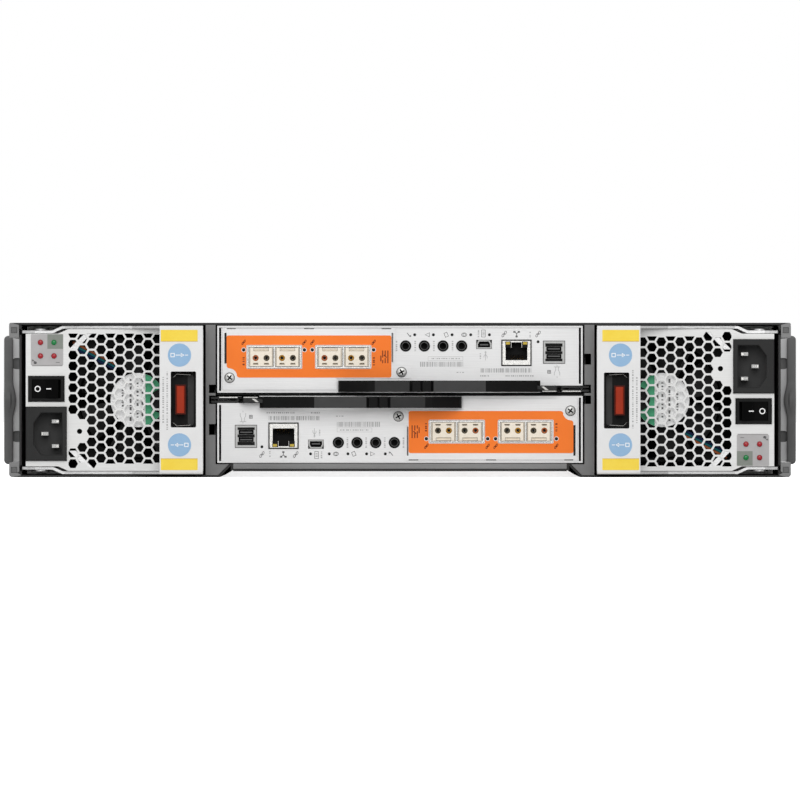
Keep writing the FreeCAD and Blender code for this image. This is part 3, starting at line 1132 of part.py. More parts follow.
def controller_lever():
    """The cam lever: a flat metal arm with its finger, and the moulded grip that bows out from the face."""
    z0 = POCKET_Z + LEVER_FIT / 2
    px, py = LEVER_PIVOT_X, LEVER_PIVOT_Y
    finger = []
    for degrees in range(166, 197, 6):
        a = math.radians(degrees)
        finger.append((px + LEVER_FINGER_R * math.cos(a), py + LEVER_FINGER_R * math.sin(a)))
    outline = [(px, py + 5.5)] + finger + [(px, py - 5.5), (px + 3, -5.5), (px + 26, -9.0), (px + 26, -4.5)]
    outline += [(px + 11.2, -1.5), (px + 8.0, py + 3.0), (px + 4, py + 5.5)]
    arm = along_z(outline, z0, z0 + LEVER_ARM)
    arm = arm.cut(rod_z(px, py, PIVOT_R + PIVOT_FIT, z0 - 1, z0 + LEVER_ARM + 1))
    slot = box(px - 20, px + 6.5, py - 12, py + 12, z0 + 1.2, z0 + LEVER_ARM - 1.2)
    arm = arm.cut(slot.cut(rod_z(px, py, 4.0, z0, z0 + LEVER_ARM)))
    x0, x3 = CAN_X0 + 24.2, LEVER_END
    x1, x2 = CAN_X0 + 55.3, CAN_X0 + 84.9
    low, top = -2.0, -GRIP_REACH
    grip = [(x0, low - 3.5), (x0 + 2, low - 5.5), (x1 - 4, top + 1.0), (x1, top), (x2, top)]
    grip += [(x2 + 1.5, top + 3.5), (x3 - 5.7, top + 3.5), (x3 - 4.5, top), (x3, top)]
    grip += [(x3, top + GRIP_END), (x3 - 3, top + GRIP_END), (x3 - 3, top + 7.5)]
    grip += [(x1, top + GRIP_THICK), (x1 - 3, top + GRIP_THICK + 1), (x0 + 4, low), (x0, low)]
    grip_z0 = GRIP_TOP - GRIP_HIGH
    moulding = along_z(grip, grip_z0, GRIP_TOP).cut(arm)
    return Part.makeCompound([arm, moulding])


def controller_catch():
    """The catch that the lever's end is squeezed towards: a bowed strip fixed to the face at its far end,
    with a hook that reaches in behind the lever's end."""
    x0, x3 = CATCH_X0, CATCH_X1
    x1 = x0 + 19.7
    low, top = CAN_FACE_Y - 1.0, -GRIP_REACH
    outline = [(x0, top), (x1, top), (x1 + 4, top + 1), (x3 - 1, low - 5), (x3, low - 3), (x3, low)]
    outline += [(x3 - 10, low), (x3 - 10, low - 3), (x1, top + GRIP_THICK), (x0 + 3, top + GRIP_THICK)]
    hook_y = top + GRIP_END + HOOK_GAP
    outline += [(x0 + 3, hook_y + HOOK_THICK), (x0 - HOOK_REACH, hook_y + HOOK_THICK)]
    outline += [(x0 - HOOK_REACH, hook_y), (x0, hook_y)]
    return along_z(outline, GRIP_TOP - GRIP_HIGH, GRIP_TOP)


def write_all():
    """Builds every piece and writes it to parts/NAME.step."""
    cap = ear_cap()
    nodes = {
        "base_pan": base_pan(),
        "top_cover": top_cover(),
        "divider_left": divider(-1),
        "divider_right": divider(1),
        "controller_shelf": controller_shelf(),
        "midplane": midplane(),
        "drive_cage": drive_cage(),
        "ear_cap_right": cap,
        "ear_cap_left": mirrored_x(cap),
    }
    psu = {
        "case": psu_case,
        "face_plate": psu_face_plate,
        "vent_grille": psu_vent_grille,
        "power_inlet": psu_power_inlet,
        "switch_frame": psu_switch_frame,
        "rocker": psu_rocker,
        "handle": psu_handle,
        "latch_cup": psu_latch_cup,
        "release_tab": psu_release_tab,
        "fan_frame": psu_fan_frame,
        "fan_rotor": psu_fan_rotor,
        "power_board": psu_power_board,
    }
    for name, make in psu.items():
        piece = make()
        nodes["psu_left_" + name] = piece
        nodes["psu_right_" + name] = half_turn(piece, PSU_MID_Z)
    controller = {
        "tray": controller_tray,
        "cover": controller_cover,
        "board": controller_board,
        "host_plate": host_plate,
        "transceivers": transceivers,
        "lever": controller_lever,
        "catch": controller_catch,
    }
    for name, make in controller.items():
        piece = make()
        nodes["controller_lower_" + name] = piece
        nodes["controller_upper_" + name] = half_turn(piece, CAN_MID_Z)
    for column in range(COLUMNS):
        for row in range(ROWS):
            nodes[f"drive_carrier_{row + 1}{column + 1}"] = drive_carrier(column, row)
    os.makedirs("parts", exist_ok=True)
    for name, shape in nodes.items():
        shape.translate(Vector(0, Y_REAR, 0))
        shape.exportStep(f"parts/{name}.step")
        good = all(s.isValid() and s.isClosed() for s in shape.Solids)
        print(name, "solids", len(shape.Solids), "faces", len(shape.Faces), "" if good else "INVALID")


write_all()
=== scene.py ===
# %% [markdown]
# # A disk shelf for a server rack, seen from its cable side
# The shelf is a folded steel box two rack units high. Twelve disk drives plug in at the front. At the rear
# sit two power modules, one at each side, and two controllers, one above the other, between them.
# Everything that fits, turns or slides is in the loaded frame. This lesson gives each of those pieces its
# finish, and adds what is printed, stuck, screwed or snapped on: films, prints, lenses, screws, contacts.

# %% Load the frame
import math

import bmesh
import bpy
import numpy as np
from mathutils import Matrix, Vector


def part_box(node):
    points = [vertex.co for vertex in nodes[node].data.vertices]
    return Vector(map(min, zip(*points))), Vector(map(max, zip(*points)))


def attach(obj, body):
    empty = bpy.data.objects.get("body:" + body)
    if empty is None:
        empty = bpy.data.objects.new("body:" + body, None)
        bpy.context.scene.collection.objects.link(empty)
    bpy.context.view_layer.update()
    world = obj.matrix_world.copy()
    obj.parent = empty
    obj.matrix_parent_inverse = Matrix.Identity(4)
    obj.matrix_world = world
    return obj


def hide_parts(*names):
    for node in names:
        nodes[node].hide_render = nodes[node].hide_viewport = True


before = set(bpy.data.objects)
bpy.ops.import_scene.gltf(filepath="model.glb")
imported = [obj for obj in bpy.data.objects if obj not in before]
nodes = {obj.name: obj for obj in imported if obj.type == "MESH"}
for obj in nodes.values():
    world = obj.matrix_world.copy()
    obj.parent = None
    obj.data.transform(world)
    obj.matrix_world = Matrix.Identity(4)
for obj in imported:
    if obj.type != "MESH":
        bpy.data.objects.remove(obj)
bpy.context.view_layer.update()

# %% [markdown]
# ## Where things are
# A modeller could type every position again, but then a changed bracket would leave its label behind. So each
# place here is measured from the frame: from the corners of a node's box, or from a ray shot at its surface.
# Lengths are in millimetres and become metres only as a mesh is made.

# %% Places and lengths
MM = 0.001


def corners(node):
    """The lowest and the highest corner of a node of the frame, in millimetres, as two arrays."""
    return tuple(np.array(corner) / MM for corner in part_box(node))


def face_at(node, x, z):
    """How far back (y) the rear side of a node lies at (x, z): where one ray along +Y first meets it."""
    hit, where, _, _ = nodes[node].ray_cast((x * MM, -1.0, z * MM), (0.0, 1.0, 0.0))
    assert hit, (node, x, z)
    return where.y / MM


handle_lo, handle_hi = corners("psu_left_handle")
tray_lo, tray_hi = corners("controller_lower_tray")
PSU_X0, PSU_FACE = corners("psu_left_face_plate")[0][:2]
PSU_X1, PSU_Z0, BAND_FACE = handle_hi[0], handle_lo[2], handle_lo[1]
PSU_MID_Z = (PSU_Z0 + handle_hi[2]) / 2
CAN_X0, CAN_X1, CAN_Z0 = tray_lo[0], tray_hi[0], tray_lo[2]
CAN_MID_Z = (CAN_Z0 + corners("controller_upper_tray")[1][2]) / 2
CAN_FACE = face_at("controller_lower_tray", CAN_X0 + 26, CAN_Z0 + 5)
print("power module from x", round(PSU_X0, 1), "to", round(PSU_X1, 1), "and controller face", round(CAN_FACE, 2))

# %% [markdown]
# ## Twins that are turned, not mirrored
# The right power module is the left one turned half round, and the upper controller is the lower one turned
# half round. A mirror would turn every glyph into its reflection. So each added piece is worked out once, on
# the left module or the lower controller, and a half turn of its points gives its twin.

# %% The two pairs
PSUS = [("psu_left", None), ("psu_right", PSU_MID_Z)]
CONTROLLERS = [("controller_lower", None), ("controller_upper", CAN_MID_Z)]


def half_turned(points, middle_z):
    """Half a turn on the line along Y at x = 0 and z = middle_z: x becomes -x and z becomes 2 middle_z - z."""
    return points if middle_z is None else points * (-1, 1, -1) + (0, 0, 2 * middle_z)


def area(x0, x1, z0, z1):
    """A rectangle on the left power module: x from its outer side, z from its middle."""
    return PSU_X0 + x0, PSU_X0 + x1, PSU_MID_Z + z0, PSU_MID_Z + z1


def port(x0, x1, z0, z1):
    """A rectangle on the lower controller: x from its left side, z from its underside."""
    return CAN_X0 + x0, CAN_X0 + x1, CAN_Z0 + z0, CAN_Z0 + z1


print("pairs", [name for name, _ in PSUS + CONTROLLERS])

# %% [markdown]
# ## From arrays to a mesh
# Shapes are kept as a pair: an array of points and a list of faces. Several such shapes are stacked into one
# piece, so that a whole print is one object. bmesh then merges doubled points at poles and turns the faces of
# each closed shell outwards.

# %% Stack shapes and make a piece
def stacked(shapes):
    """Shapes one after another: the points are joined, and each face's numbers grow by the points before it."""
    points, faces, before = [], [], 0
    for shape_points, shape_faces in shapes:
        points.append(shape_points)
        faces += [[i + before for i in face] for face in shape_faces]
        before += len(shape_points)
    return np.vstack(points), faces


def placed(name, data):
    """A new object that shows its data, linked to the scene."""
    made = bpy.data.objects.new(name, data)
    bpy.context.scene.collection.objects.link(made)
    return made


def piece(name, shapes, material, body, middle_z=None, smooth=False):
    """Makes one object from shapes in millimetres, turned for its twin, that rides on a body of the frame."""
    points, faces = stacked(shapes)
    mesh = bpy.data.meshes.new(name)
    mesh.from_pydata((half_turned(points, middle_z) * MM).tolist(), [], faces)
    shell = bmesh.new()
    shell.from_mesh(mesh)
    bmesh.ops.remove_doubles(shell, verts=shell.verts, dist=1e-7)
    bmesh.ops.recalc_face_normals(shell, faces=shell.faces)
    shell.to_mesh(mesh)
    shell.free()
    mesh.materials.append(material)
    if smooth:
        mesh.shade_smooth()
        mesh.set_sharp_from_angle(angle=math.radians(35))
    made = placed(name, mesh)
    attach(made, body)
    return made


def twins(pair, slot, *parts, body=""):
    """The same pieces on both of a pair, each on a body that is named after its twin. A part is the end of its
    name, its shapes and its material, and True after them where it is smooth."""
    for name, middle_z in pair:
        for part, shapes, material, *smooth in parts:
            piece(f"{name}_{part}", shapes, material, name + body, middle_z, bool(smooth))


# %% [markdown]
# ## Five ways to draw a small form
# Films and labels are flat outlines with a thickness. Printed lines are ribbons along a path. Lenses and
# sleeves are turned on a lathe: a profile carried round a line. Small blocks have cut corners, because a
# moulded or punched edge is never quite sharp and the cut catches the light. Wires are round rings along a
# path. All of them are rows of equal rings of points under one skin, so one function makes their faces.

# %% Outlines and flat films
FILM, INK = 0.12, 0.04


def skin(rows, closed=False, ends=True):
    """Faces over rows of equal rings of points: quads between neighbours, and from the last row to the first
    where the rows are closed. Ends puts one face on the first ring and one on the last."""
    count, around = rows.shape[:2]
    here = np.arange(count if closed else count - 1)[:, None] * around
    there = (here + around) % (count * around)
    step = np.arange(around)[None, :]
    after = (step + 1) % around
    quads = np.stack([here + step, here + after, there + after, there + step], axis=2).reshape(-1, 4).tolist()
    last = (count - 1) * around
    caps = [] if closed or not ends else [list(range(around))[::-1], list(range(last, last + around))]
    return rows.reshape(-1, 3), quads + caps


def level(outline, y):
    """Points (x, z) as points in space at the depth y."""
    return np.insert(np.asarray(outline, float), 1, y, axis=1)


def film(outline, y, thick=FILM):
    """A flat film on a face at y: the outline of (x, z) points there and at y - thick, and faces all round."""
    return skin(np.array([level(outline, y - thick), level(outline, y)]))


def arc(x, z, r, start, stop, steps=7):
    """Points on part of a circle, between two angles in degrees: the centre plus r times the cosine and the
    sine. Two half sizes in place of r give an oval."""
    turn = np.radians(np.linspace(start, stop, steps))
    wide, high = np.broadcast_to(r, 2)
    return np.column_stack([x + wide * np.cos(turn), z + high * np.sin(turn)])


def circle(x, z, r, count=40):
    """Points on a circle at equal turns."""
    return arc(x, z, r, 0, 360, count + 1)[:-1]


def rounded(x0, x1, z0, z1, r, steps=5):
    """The outline of a rectangle with four round corners. One radius serves all four, or four are given, from
    the corner at (x1, z1) on against the clock."""
    a, b, c, d = np.broadcast_to(r, 4)
    return np.vstack([arc(x1 - a, z1 - a, a, 0, 90, steps), arc(x0 + b, z1 - b, b, 90, 180, steps),
                      arc(x0 + c, z0 + c, c, 180, 270, steps), arc(x1 - d, z0 + d, d, 270, 360, steps)])


def quad(x0, x1, z0, z1, grow=0.0):
    """The four corners of a rectangle that is made larger all round."""
    x0, x1, z0, z1 = x0 - grow, x1 + grow, z0 - grow, z1 + grow
    return np.array([(x0, z0), (x1, z0), (x1, z1), (x0, z1)])


print("film of", len(film(rounded(0, 10, 0, 5, 1), 0)[0]), "points")

# %% Printed lines
def stroke(path, width, y, closed=False):
    """A ribbon of ink on a face at y, along a path of (x, z) points. At each point it is widened by half the
    width along the mitre: the mean of the two sideways directions, longer by one over the cosine between them."""
    path = np.asarray(path, float)
    ahead = np.roll(path, -1, axis=0) - path
    if not closed:
        ahead[-1] = ahead[-2]
    ahead /= np.linalg.norm(ahead, axis=1, keepdims=True)
    behind = np.roll(ahead, 1, axis=0)
    if not closed:
        behind[0] = ahead[0]
    side = np.column_stack([-(ahead + behind)[:, 1], (ahead + behind)[:, 0]])
    side /= np.maximum((side ** 2).sum(axis=1, keepdims=True) / 2, 0.6)
    left, right = path + side * width / 2, path - side * width / 2
    top = y - INK
    return skin(np.stack([level(left, top), level(right, top), level(right, y), level(left, y)], axis=1), closed)


print("stroke of", len(stroke([(0, 0), (2, 0), (2, 2)], 0.3, 0)[0]), "points")

# %% Lathe work, blocks and wires
def lathe(profile, x, y, z, around=32):
    """A profile of (radius, depth) pairs carried round the line along Y through (x, z): a pair (r, d) at turn t
    lands on (x + r cos t, y + d, z + r sin t). A radius of 0 closes the end in a pole."""
    return skin(np.array([level(circle(x, z, r, around), y + d) for r, d in profile]), ends=False)


def dome(x, y, z, r, high, rim=0.3, around=24):
    """A lens: a flat-sided rim and above it a cap whose depth is the height times the cosine of a quarter turn."""
    turn = np.linspace(0, math.pi / 2, 7)
    cap = np.column_stack([r * np.sin(turn), -rim - high * np.cos(turn)])
    return lathe(np.vstack([cap, [(r, 0.0), (0.0, 0.0)]]), x, y, z, around)


def block(x0, x1, y0, y1, z0, z1, cut=0.0):
    """A block whose rear face is drawn in by a cut all round: smaller at y0, whole at y0 + cut and at y1."""
    whole = quad(x0, x1, z0, z1)
    return skin(np.array([level(quad(x0, x1, z0, z1, -cut), y0), level(whole, y0 + cut), level(whole, y1)]))


def wire(path, r, sides=8):
    """A round wire along a path of (x, y, z) points: at each point a ring of radius r stands square to the mean
    of the directions before and after it."""
    path = np.asarray(path, float)
    ahead = np.diff(path, axis=0)
    ahead /= np.linalg.norm(ahead, axis=1, keepdims=True)
    along = np.vstack([ahead[:1], ahead[:-1] + ahead[1:], ahead[-1:]])
    along /= np.linalg.norm(along, axis=1, keepdims=True)
    side = np.cross(along, (0.0, 1.0, 0.0))
    side /= np.linalg.norm(side, axis=1, keepdims=True)
    turn = (np.arange(sides) * 2 * math.pi / sides)[:, None]
    return skin(path[:, None] + r * (side[:, None] * np.cos(turn) + np.cross(side, along)[:, None] * np.sin(turn)))


print("dome of", len(dome(0, 0, 0, 1.6, 0.8)[0]), "points")

# %% [markdown]
# ## Colours and a way to write shader nodes
# Colours are written as sRGB hex values, as one reads them off a swatch. Cycles works in linear light, so one
# function turns them. Another adds a node and sets or links its inputs by name, which keeps each material
# readable as a recipe. The short ones after it are the steps that nearly every recipe here has.

# %% Colour and node helpers
def linear(swatch):
    """An sRGB hex value as linear red, green, blue and 1: c / 12.92 up to 0.04045, and above it
    ((c + 0.055) / 1.055) ** 2.4."""
    value = np.array([int(swatch[i:i + 2], 16) / 255 for i in (1, 3, 5)])
    light = np.where(value <= 0.04045, value / 12.92, ((value + 0.055) / 1.055) ** 2.4)
    return (*light.tolist(), 1.0)


def add(tree, kind, **sets):
    """Adds one shader node. Each keyword is a setting of the node or one of its inputs: an output is linked to
    that input, and anything else becomes its value."""
    made = tree.nodes.new("ShaderNode" + kind)
    for name, value in sets.items():
        socket = next((s for s in made.inputs if s.identifier.replace(" ", "_") == name), None)
        if socket is None:
            setattr(made, name, value)
        elif isinstance(value, bpy.types.NodeSocket):
            tree.links.new(value, socket)
        else:
            socket.default_value = value
    return made


def new_material(name):
    """An empty node material and its tree."""
    made = bpy.data.materials.new(name)
    made.use_nodes = True
    made.node_tree.nodes.clear()
    return made, made.node_tree


def textured(name):
    """A new material, its tree, and the place on the object, which its noises are laid out by."""
    made, tree = new_material(name)
    return made, tree, add(tree, "TexCoord").outputs["Object"]


def noise(tree, here, size, detail=2.0):
    """The value of a noise whose grains have a size in millimetres."""
    return add(tree, "TexNoise", Vector=here, Scale=1000 / size, Detail=detail).outputs["Fac"]


def between(tree, share, dark, light):
    """The colour at a share of the way from one swatch to another."""
    return add(tree, "Mix", data_type="RGBA", Factor_Float=share,
               A_Color=linear(dark), B_Color=linear(light)).outputs["Result"]


def around_value(tree, value, low, high, middle, half):
    """A value that runs from low to high, turned into one within half of a middle."""
    return add(tree, "MapRange", Value=value, From_Min=low, From_Max=high,
               To_Min=middle - half, To_Max=middle + half).outputs["Result"]


def finished(made, **sets):
    """Ends a material with Principled and its settings, and returns the material."""
    shader = add(made.node_tree, "BsdfPrincipled", **sets)
    add(made.node_tree, "OutputMaterial", Surface=shader.outputs["BSDF"])
    return made


print("mid grey is", [round(c, 3) for c in linear("#808080")[:3]])

# %% [markdown]
# ## Sheet steel
# Cold-rolled sheet that is zinc-plated in the coil shows a faint grain along the rolling direction and a soft,
# broken reflection. An image of brushed metal would not follow the real size of the part. A noise texture does,
# when its stretch is worked out from the grain: here 25 mm long and 0.5 mm wide, drawn a little coarser than
# the real 0.1 mm so that it shows at this distance. Two swatches are the darkest and the lightest of the sheet.
# A second noise, a hand wide, stands for handling marks.

# %% Rolled sheet
def rolled_sheet(name, dark, light, metallic, roughness, grain=(25.0, 0.5, 0.5), bump=0.02):
    """Sheet metal: grain is its size along x, y and z in millimetres, and moves colour, roughness and bump."""
    made, tree, here = textured(name)
    along = add(tree, "Mapping", Vector=here, Scale=[1000 / g for g in grain]).outputs["Vector"]
    fibre = add(tree, "TexNoise", Vector=along, Scale=1.0, Detail=3.0, Roughness=0.6).outputs["Fac"]
    both = add(tree, "Math", operation="ADD", Value=fibre, Value_001=noise(tree, here, 70))
    share = add(tree, "MapRange", Value=both.outputs["Value"], From_Min=0.7, From_Max=1.3).outputs["Result"]
    relief = add(tree, "Bump", Height=fibre, Strength=bump * 10, Distance=0.0001)
    return finished(made, Base_Color=between(tree, share, dark, light), Metallic=metallic,
                    Roughness=around_value(tree, fibre, 0.3, 0.7, roughness, 0.06), Normal=relief.outputs["Normal"])


FINE_GRAIN = (12.0, 0.4, 0.4)
# The greys of the case and of the floor lip are darker than bare zinc: painted shade.
case_zinc_painted_shade = rolled_sheet("electrogalvanised_steel_case", "#686868", "#787878", 0.4, 0.45)
# Near-black for the rear-facing edges of the case and the band under the floor lip: painted shade.
edge_painted_shade = rolled_sheet("sheared_steel_edge", "#1c1c1c", "#2c2c2c", 0.6, 0.5)
lip_zinc_painted_shade = rolled_sheet("electrogalvanised_steel_lip", "#646464", "#7a7a7a", 0.4, 0.38, (30.0, 0.4, 0.4))
module_zinc = rolled_sheet("nickel_plated_steel_module", "#cfcfce", "#dddddc", 0.15, 0.36)
controller_zinc = rolled_sheet("electrogalvanised_steel_controller", "#d6d6d6", "#e4e4e4", 0.15, 0.38)
bright_steel = rolled_sheet("rolled_stainless_spring_steel", "#a8a8a8", "#d0d0d0", 0.9, 0.3, FINE_GRAIN, 0.006)
# Dark steel for the cam lever's arm: painted shade.
shaded_steel = rolled_sheet("oiled_spring_steel_finger", "#1c1c1c", "#303030", 0.7, 0.4, FINE_GRAIN)
print("sheet metals", [m.name for m in bpy.data.materials][-7:])

# %% [markdown]
# ## Moulded plastic and paint
# Injection-moulded ABS and glass-filled nylon take the spark-eroded texture of their mould: tiny soft pits, 0.3
# to 0.6 mm across, that break up the gloss. Voronoi cells are too regular for it, so a noise at that size drives
# the bump. A slower noise varies the roughness, as flow in the mould does. Powder paint has coarser, softer pits.
# Boards and leads are only glimpsed through the vents, but they carry the colour behind the honeycomb: brown
# over orange, teal and dark blue.

# %% Moulded plastics
def moulded(name, dark, light, roughness, pit=0.5, depth=0.00004, shine=0.08):
    """Moulded plastic: pits of a size in millimetres in the bump, and a slower noise in colour and roughness.
    Shine is the specular level, kept low: what a pitted face sends back is spread so wide that little is seen."""
    made, tree, here = textured(name)
    flow = noise(tree, here, 12, 3.0)
    relief = add(tree, "Bump", Height=noise(tree, here, pit), Strength=0.4, Distance=depth)
    return finished(made, Base_Color=between(tree, flow, dark, light), IOR=1.5, Specular_IOR_Level=shine,
                    Roughness=around_value(tree, flow, 0.35, 0.65, roughness, 0.05), Normal=relief.outputs["Normal"])


divider_paint = moulded("powder_coated_steel_grey", "#787878", "#868686", 0.5, 0.9, 0.00006)
handle_paint = moulded("powder_coated_steel_white", "#dcdcdc", "#e8e8e8", 0.45, 0.9, 0.00005)
ear_steel = moulded("painted_steel_ear", "#bebebe", "#cacaca", 0.5, 0.9)
inlet_plastic = moulded("glass_filled_nylon_inlet", "#292929", "#343434", 0.5)
inlet_well = moulded("glass_filled_nylon_well", "#3c3c3c", "#4c4c4c", 0.45)
frame_plastic = moulded("glass_filled_nylon_switch_frame", "#151515", "#1f1f1f", 0.5)
switch_plastic = moulded("polished_polycarbonate_switch", "#040404", "#090909", 0.4, 2.0, 0.00001, 0.03)
lever_plastic = moulded("moulded_abs_lever", "#0a0a0a", "#151515", 0.45)
# Paler greys for the flats of the lever and the catch, which face the light: painted light.
lever_flat_painted_light = moulded("moulded_abs_lever_flat", "#3a3a3a", "#464646", 0.48)
catch_flat_painted_light = moulded("moulded_abs_catch_flat", "#2a2a2a", "#363636", 0.48)
cup_plastic = moulded("moulded_abs_latch_cup", "#101010", "#222222", 0.4)
# A paler grey for the latch cup's cheek: painted light.
cheek_painted_light = moulded("moulded_abs_latch_cheek", "#3c3c3c", "#565656", 0.4)
tab_plastic = moulded("moulded_acetal_red", "#8e2814", "#a83820", 0.38)
# Dark red round the release tab's face: painted shade.
tab_shade = moulded("moulded_acetal_red_edge", "#3e110a", "#4e160d", 0.45)
fan_plastic = moulded("glass_filled_polyester_fan", "#0e0e0e", "#1a1a1a", 0.5, shine=0.02)
rotor_plastic = moulded("glass_filled_polyester_rotor", "#343434", "#424242", 0.5, shine=0.02)
ear_plastic = moulded("moulded_abs_ear_cap", "#606060", "#6e6e6e", 0.4, 0.7)
carrier_plastic = moulded("moulded_abs_carrier", "#1d1e20", "#292a2d", 0.42)
# Near-black for the bulkhead behind the fan, the controller shelf and the screw recesses: painted shade.
painted_shade_black = moulded("black_oxide_steel_baffle", "#0c0c0c", "#161616", 0.55, 2.0)
connector_plastic = moulded("liquid_crystal_polymer_connector", "#0b0b0b", "#161616", 0.4)
board_green = moulded("fr4_board_solder_mask", "#12351f", "#1b4a2c", 0.35, 1.2)
lead_orange = moulded("extruded_pvc_orange", "#84482a", "#a05a34", 0.4, 2.0)
lead_teal = moulded("extruded_pvc_teal", "#0f4c55", "#18666c", 0.4, 2.0)
lead_blue = moulded("extruded_pvc_blue", "#0b1836", "#12224c", 0.4, 2.0)
black_sink = moulded("black_anodised_aluminium_sink", "#121212", "#1c1c1c", 0.5, 1.5, shine=0.04)
ferrite_black = moulded("sintered_ferrite_black", "#161616", "#202020", 0.55, 1.5)
sleeve_dark = moulded("zirconia_sleeve_dark", "#4c463a", "#665c4a", 0.35, 1.0)
print("plastics and paints bring the materials to", len(bpy.data.materials))

# %% [markdown]
# ## Small bright things
# Connector shells are nickel-plated, contacts are gold-plated, and heat sinks are extruded aluminium. All are
# metals, so their colour sits in the base colour and Principled's metallic does the rest. A light noise in the
# roughness keeps them from looking like mirrors.

# %% Plated and cast metals
def plated(name, swatch, roughness, speck=0.8):
    """Plated metal: full metallic, with a noise of a size in millimetres that varies its roughness and bump."""
    made, tree, here = textured(name)
    specks = noise(tree, here, speck, 3.0)
    relief = add(tree, "Bump", Height=specks, Strength=0.2, Distance=0.00003)
    return finished(made, Base_Color=linear(swatch), Metallic=1.0, Normal=relief.outputs["Normal"],
                    Roughness=around_value(tree, specks, 0.3, 0.7, roughness, 0.08))


nickel = plated("nickel_plated_brass_contact", "#c2c1be", 0.25)
# Dull nickel for connector shells, and for the mains blades as painted shade.
nickel_dull_and_painted_shade = plated("nickel_plated_steel_shell", "#8f8f8e", 0.35)
gold = plated("gold_plated_contact", "#c79a4a", 0.28)
aluminium = plated("extruded_aluminium_sink", "#b9bbbd", 0.35, 1.5)
screw_steel = plated("zinc_plated_screw_steel", "#b2b2b0", 0.45)
drive_metal = plated("cast_aluminium_drive", "#a8aaac", 0.4, 1.2)
sleeve_gold = plated("phosphor_bronze_sleeve", "#b5832c", 0.3)
sleeve_red = plated("copper_alloy_sleeve", "#b4643c", 0.3)
print("metals bring the materials to", len(bpy.data.materials))

# %% [markdown]
# ## Films, inks and lenses
# Labels are polyester or polycarbonate film, printed on the back, so their colour is even and their face has a
# low gloss with a very fine texture. Screen-printed ink is thinner and duller. The lamps are moulded epoxy, whose
# colour is deeper at the rim, where light passes through more of it: a facing weight shows that.

# %% Printed films, inks and lamp lenses
def printed(name, dark, light, roughness=0.4, mottle=6.0):
    """A printed film or ink: two close swatches mixed by a noise of a size in millimetres, and a fine bump."""
    made, tree, here = textured(name)
    relief = add(tree, "Bump", Height=noise(tree, here, 0.4, 1.0), Strength=0.15, Distance=0.00002)
    return finished(made, Base_Color=between(tree, noise(tree, here, mottle), dark, light), Roughness=roughness,
                    IOR=1.5, Specular_IOR_Level=0.2, Normal=relief.outputs["Normal"])


def lens(name, rim, middle, coat=0.1, shine=0.3):
    """A moulded epoxy lens: its deep colour at the rim gives way to a paler one where it faces the eye."""
    made, tree = new_material(name)
    facing = add(tree, "LayerWeight", Blend=0.45).outputs["Facing"]
    return finished(made, Base_Color=between(tree, facing, middle, rim), Roughness=0.18, IOR=1.53,
                    Coat_Weight=coat, Specular_IOR_Level=shine)


yellow_film = printed("screen_printed_polyester_yellow", "#f0ce3c", "#f7dc55")
# A darker yellow for the line along each band's inner edge: painted shade.
yellow_shade = printed("screen_printed_polyester_ochre", "#d9b43c", "#e6c75a")
blue_film = printed("screen_printed_polyester_blue", "#8aafd2", "#97b9d8")
orange_film = printed("polycarbonate_film_orange", "#f6761f", "#ff8428", 0.36, 30.0)
lamp_film = printed("polycarbonate_film_grey", "#a9a8a7", "#b5b2b3")
lamp_patch = printed("polycarbonate_film_dark_grey", "#7d827b", "#888d86")
white_film = printed("printed_polyester_white", "#fafafa", "#ffffff")
green_film = printed("printed_polyester_green", "#3c9c6e", "#54b488")
foam_white = printed("closed_cell_foam_white", "#fbfbfb", "#ffffff", 0.9, 3.0)
white_ink = printed("screen_ink_white", "#eeeeee", "#fafafa")
# Grey ink for print, and for the rings round the screw heads as painted shadow.
grey_ink_and_painted_shadow = printed("screen_ink_grey", "#5a5a5a", "#6e6e6e", 0.6)
pale_ink = printed("screen_ink_pale_grey", "#a2a2a2", "#b0b0b0", 0.6)
# Black ink for print, and for the rings, lines, slots and plugs of painted shadow.
black_ink_and_painted_shadow = printed("screen_ink_black", "#121212", "#1e1e1e", 0.6)
rust_ink = printed("screen_ink_dark_red", "#6e2c14", "#80381c", 0.6)
taupe_ink = printed("screen_ink_taupe", "#564c3e", "#6c604e", 0.6)
cream_plastic = printed("liquid_crystal_polymer_cream", "#eadecb", "#f8f0e2", 0.35, 2.0)
red_lens = lens("epoxy_lens_red", "#4a060c", "#a01a24")
green_lens = lens("epoxy_lens_green", "#03341a", "#0b7a3c")
clear_lens = lens("polycarbonate_light_pipe", "#060606", "#1a1a1a", 0.0, 0.15)
amber_lens = lens("polycarbonate_light_pipe_amber", "#7a681c", "#c2a83c")
print("films, inks and lenses bring the materials to", len(bpy.data.materials))

# %% [markdown]
# ## Finishing the pieces of the frame
# One node of the frame can hold several solids: a board with its jacks, or a fan housing with its leads. Cutting
# such a mesh apart would change it. Instead its faces keep their places and only choose between materials: a
# test on the centre and the normal of each face says which. Twins are turned back first, so one test serves both.

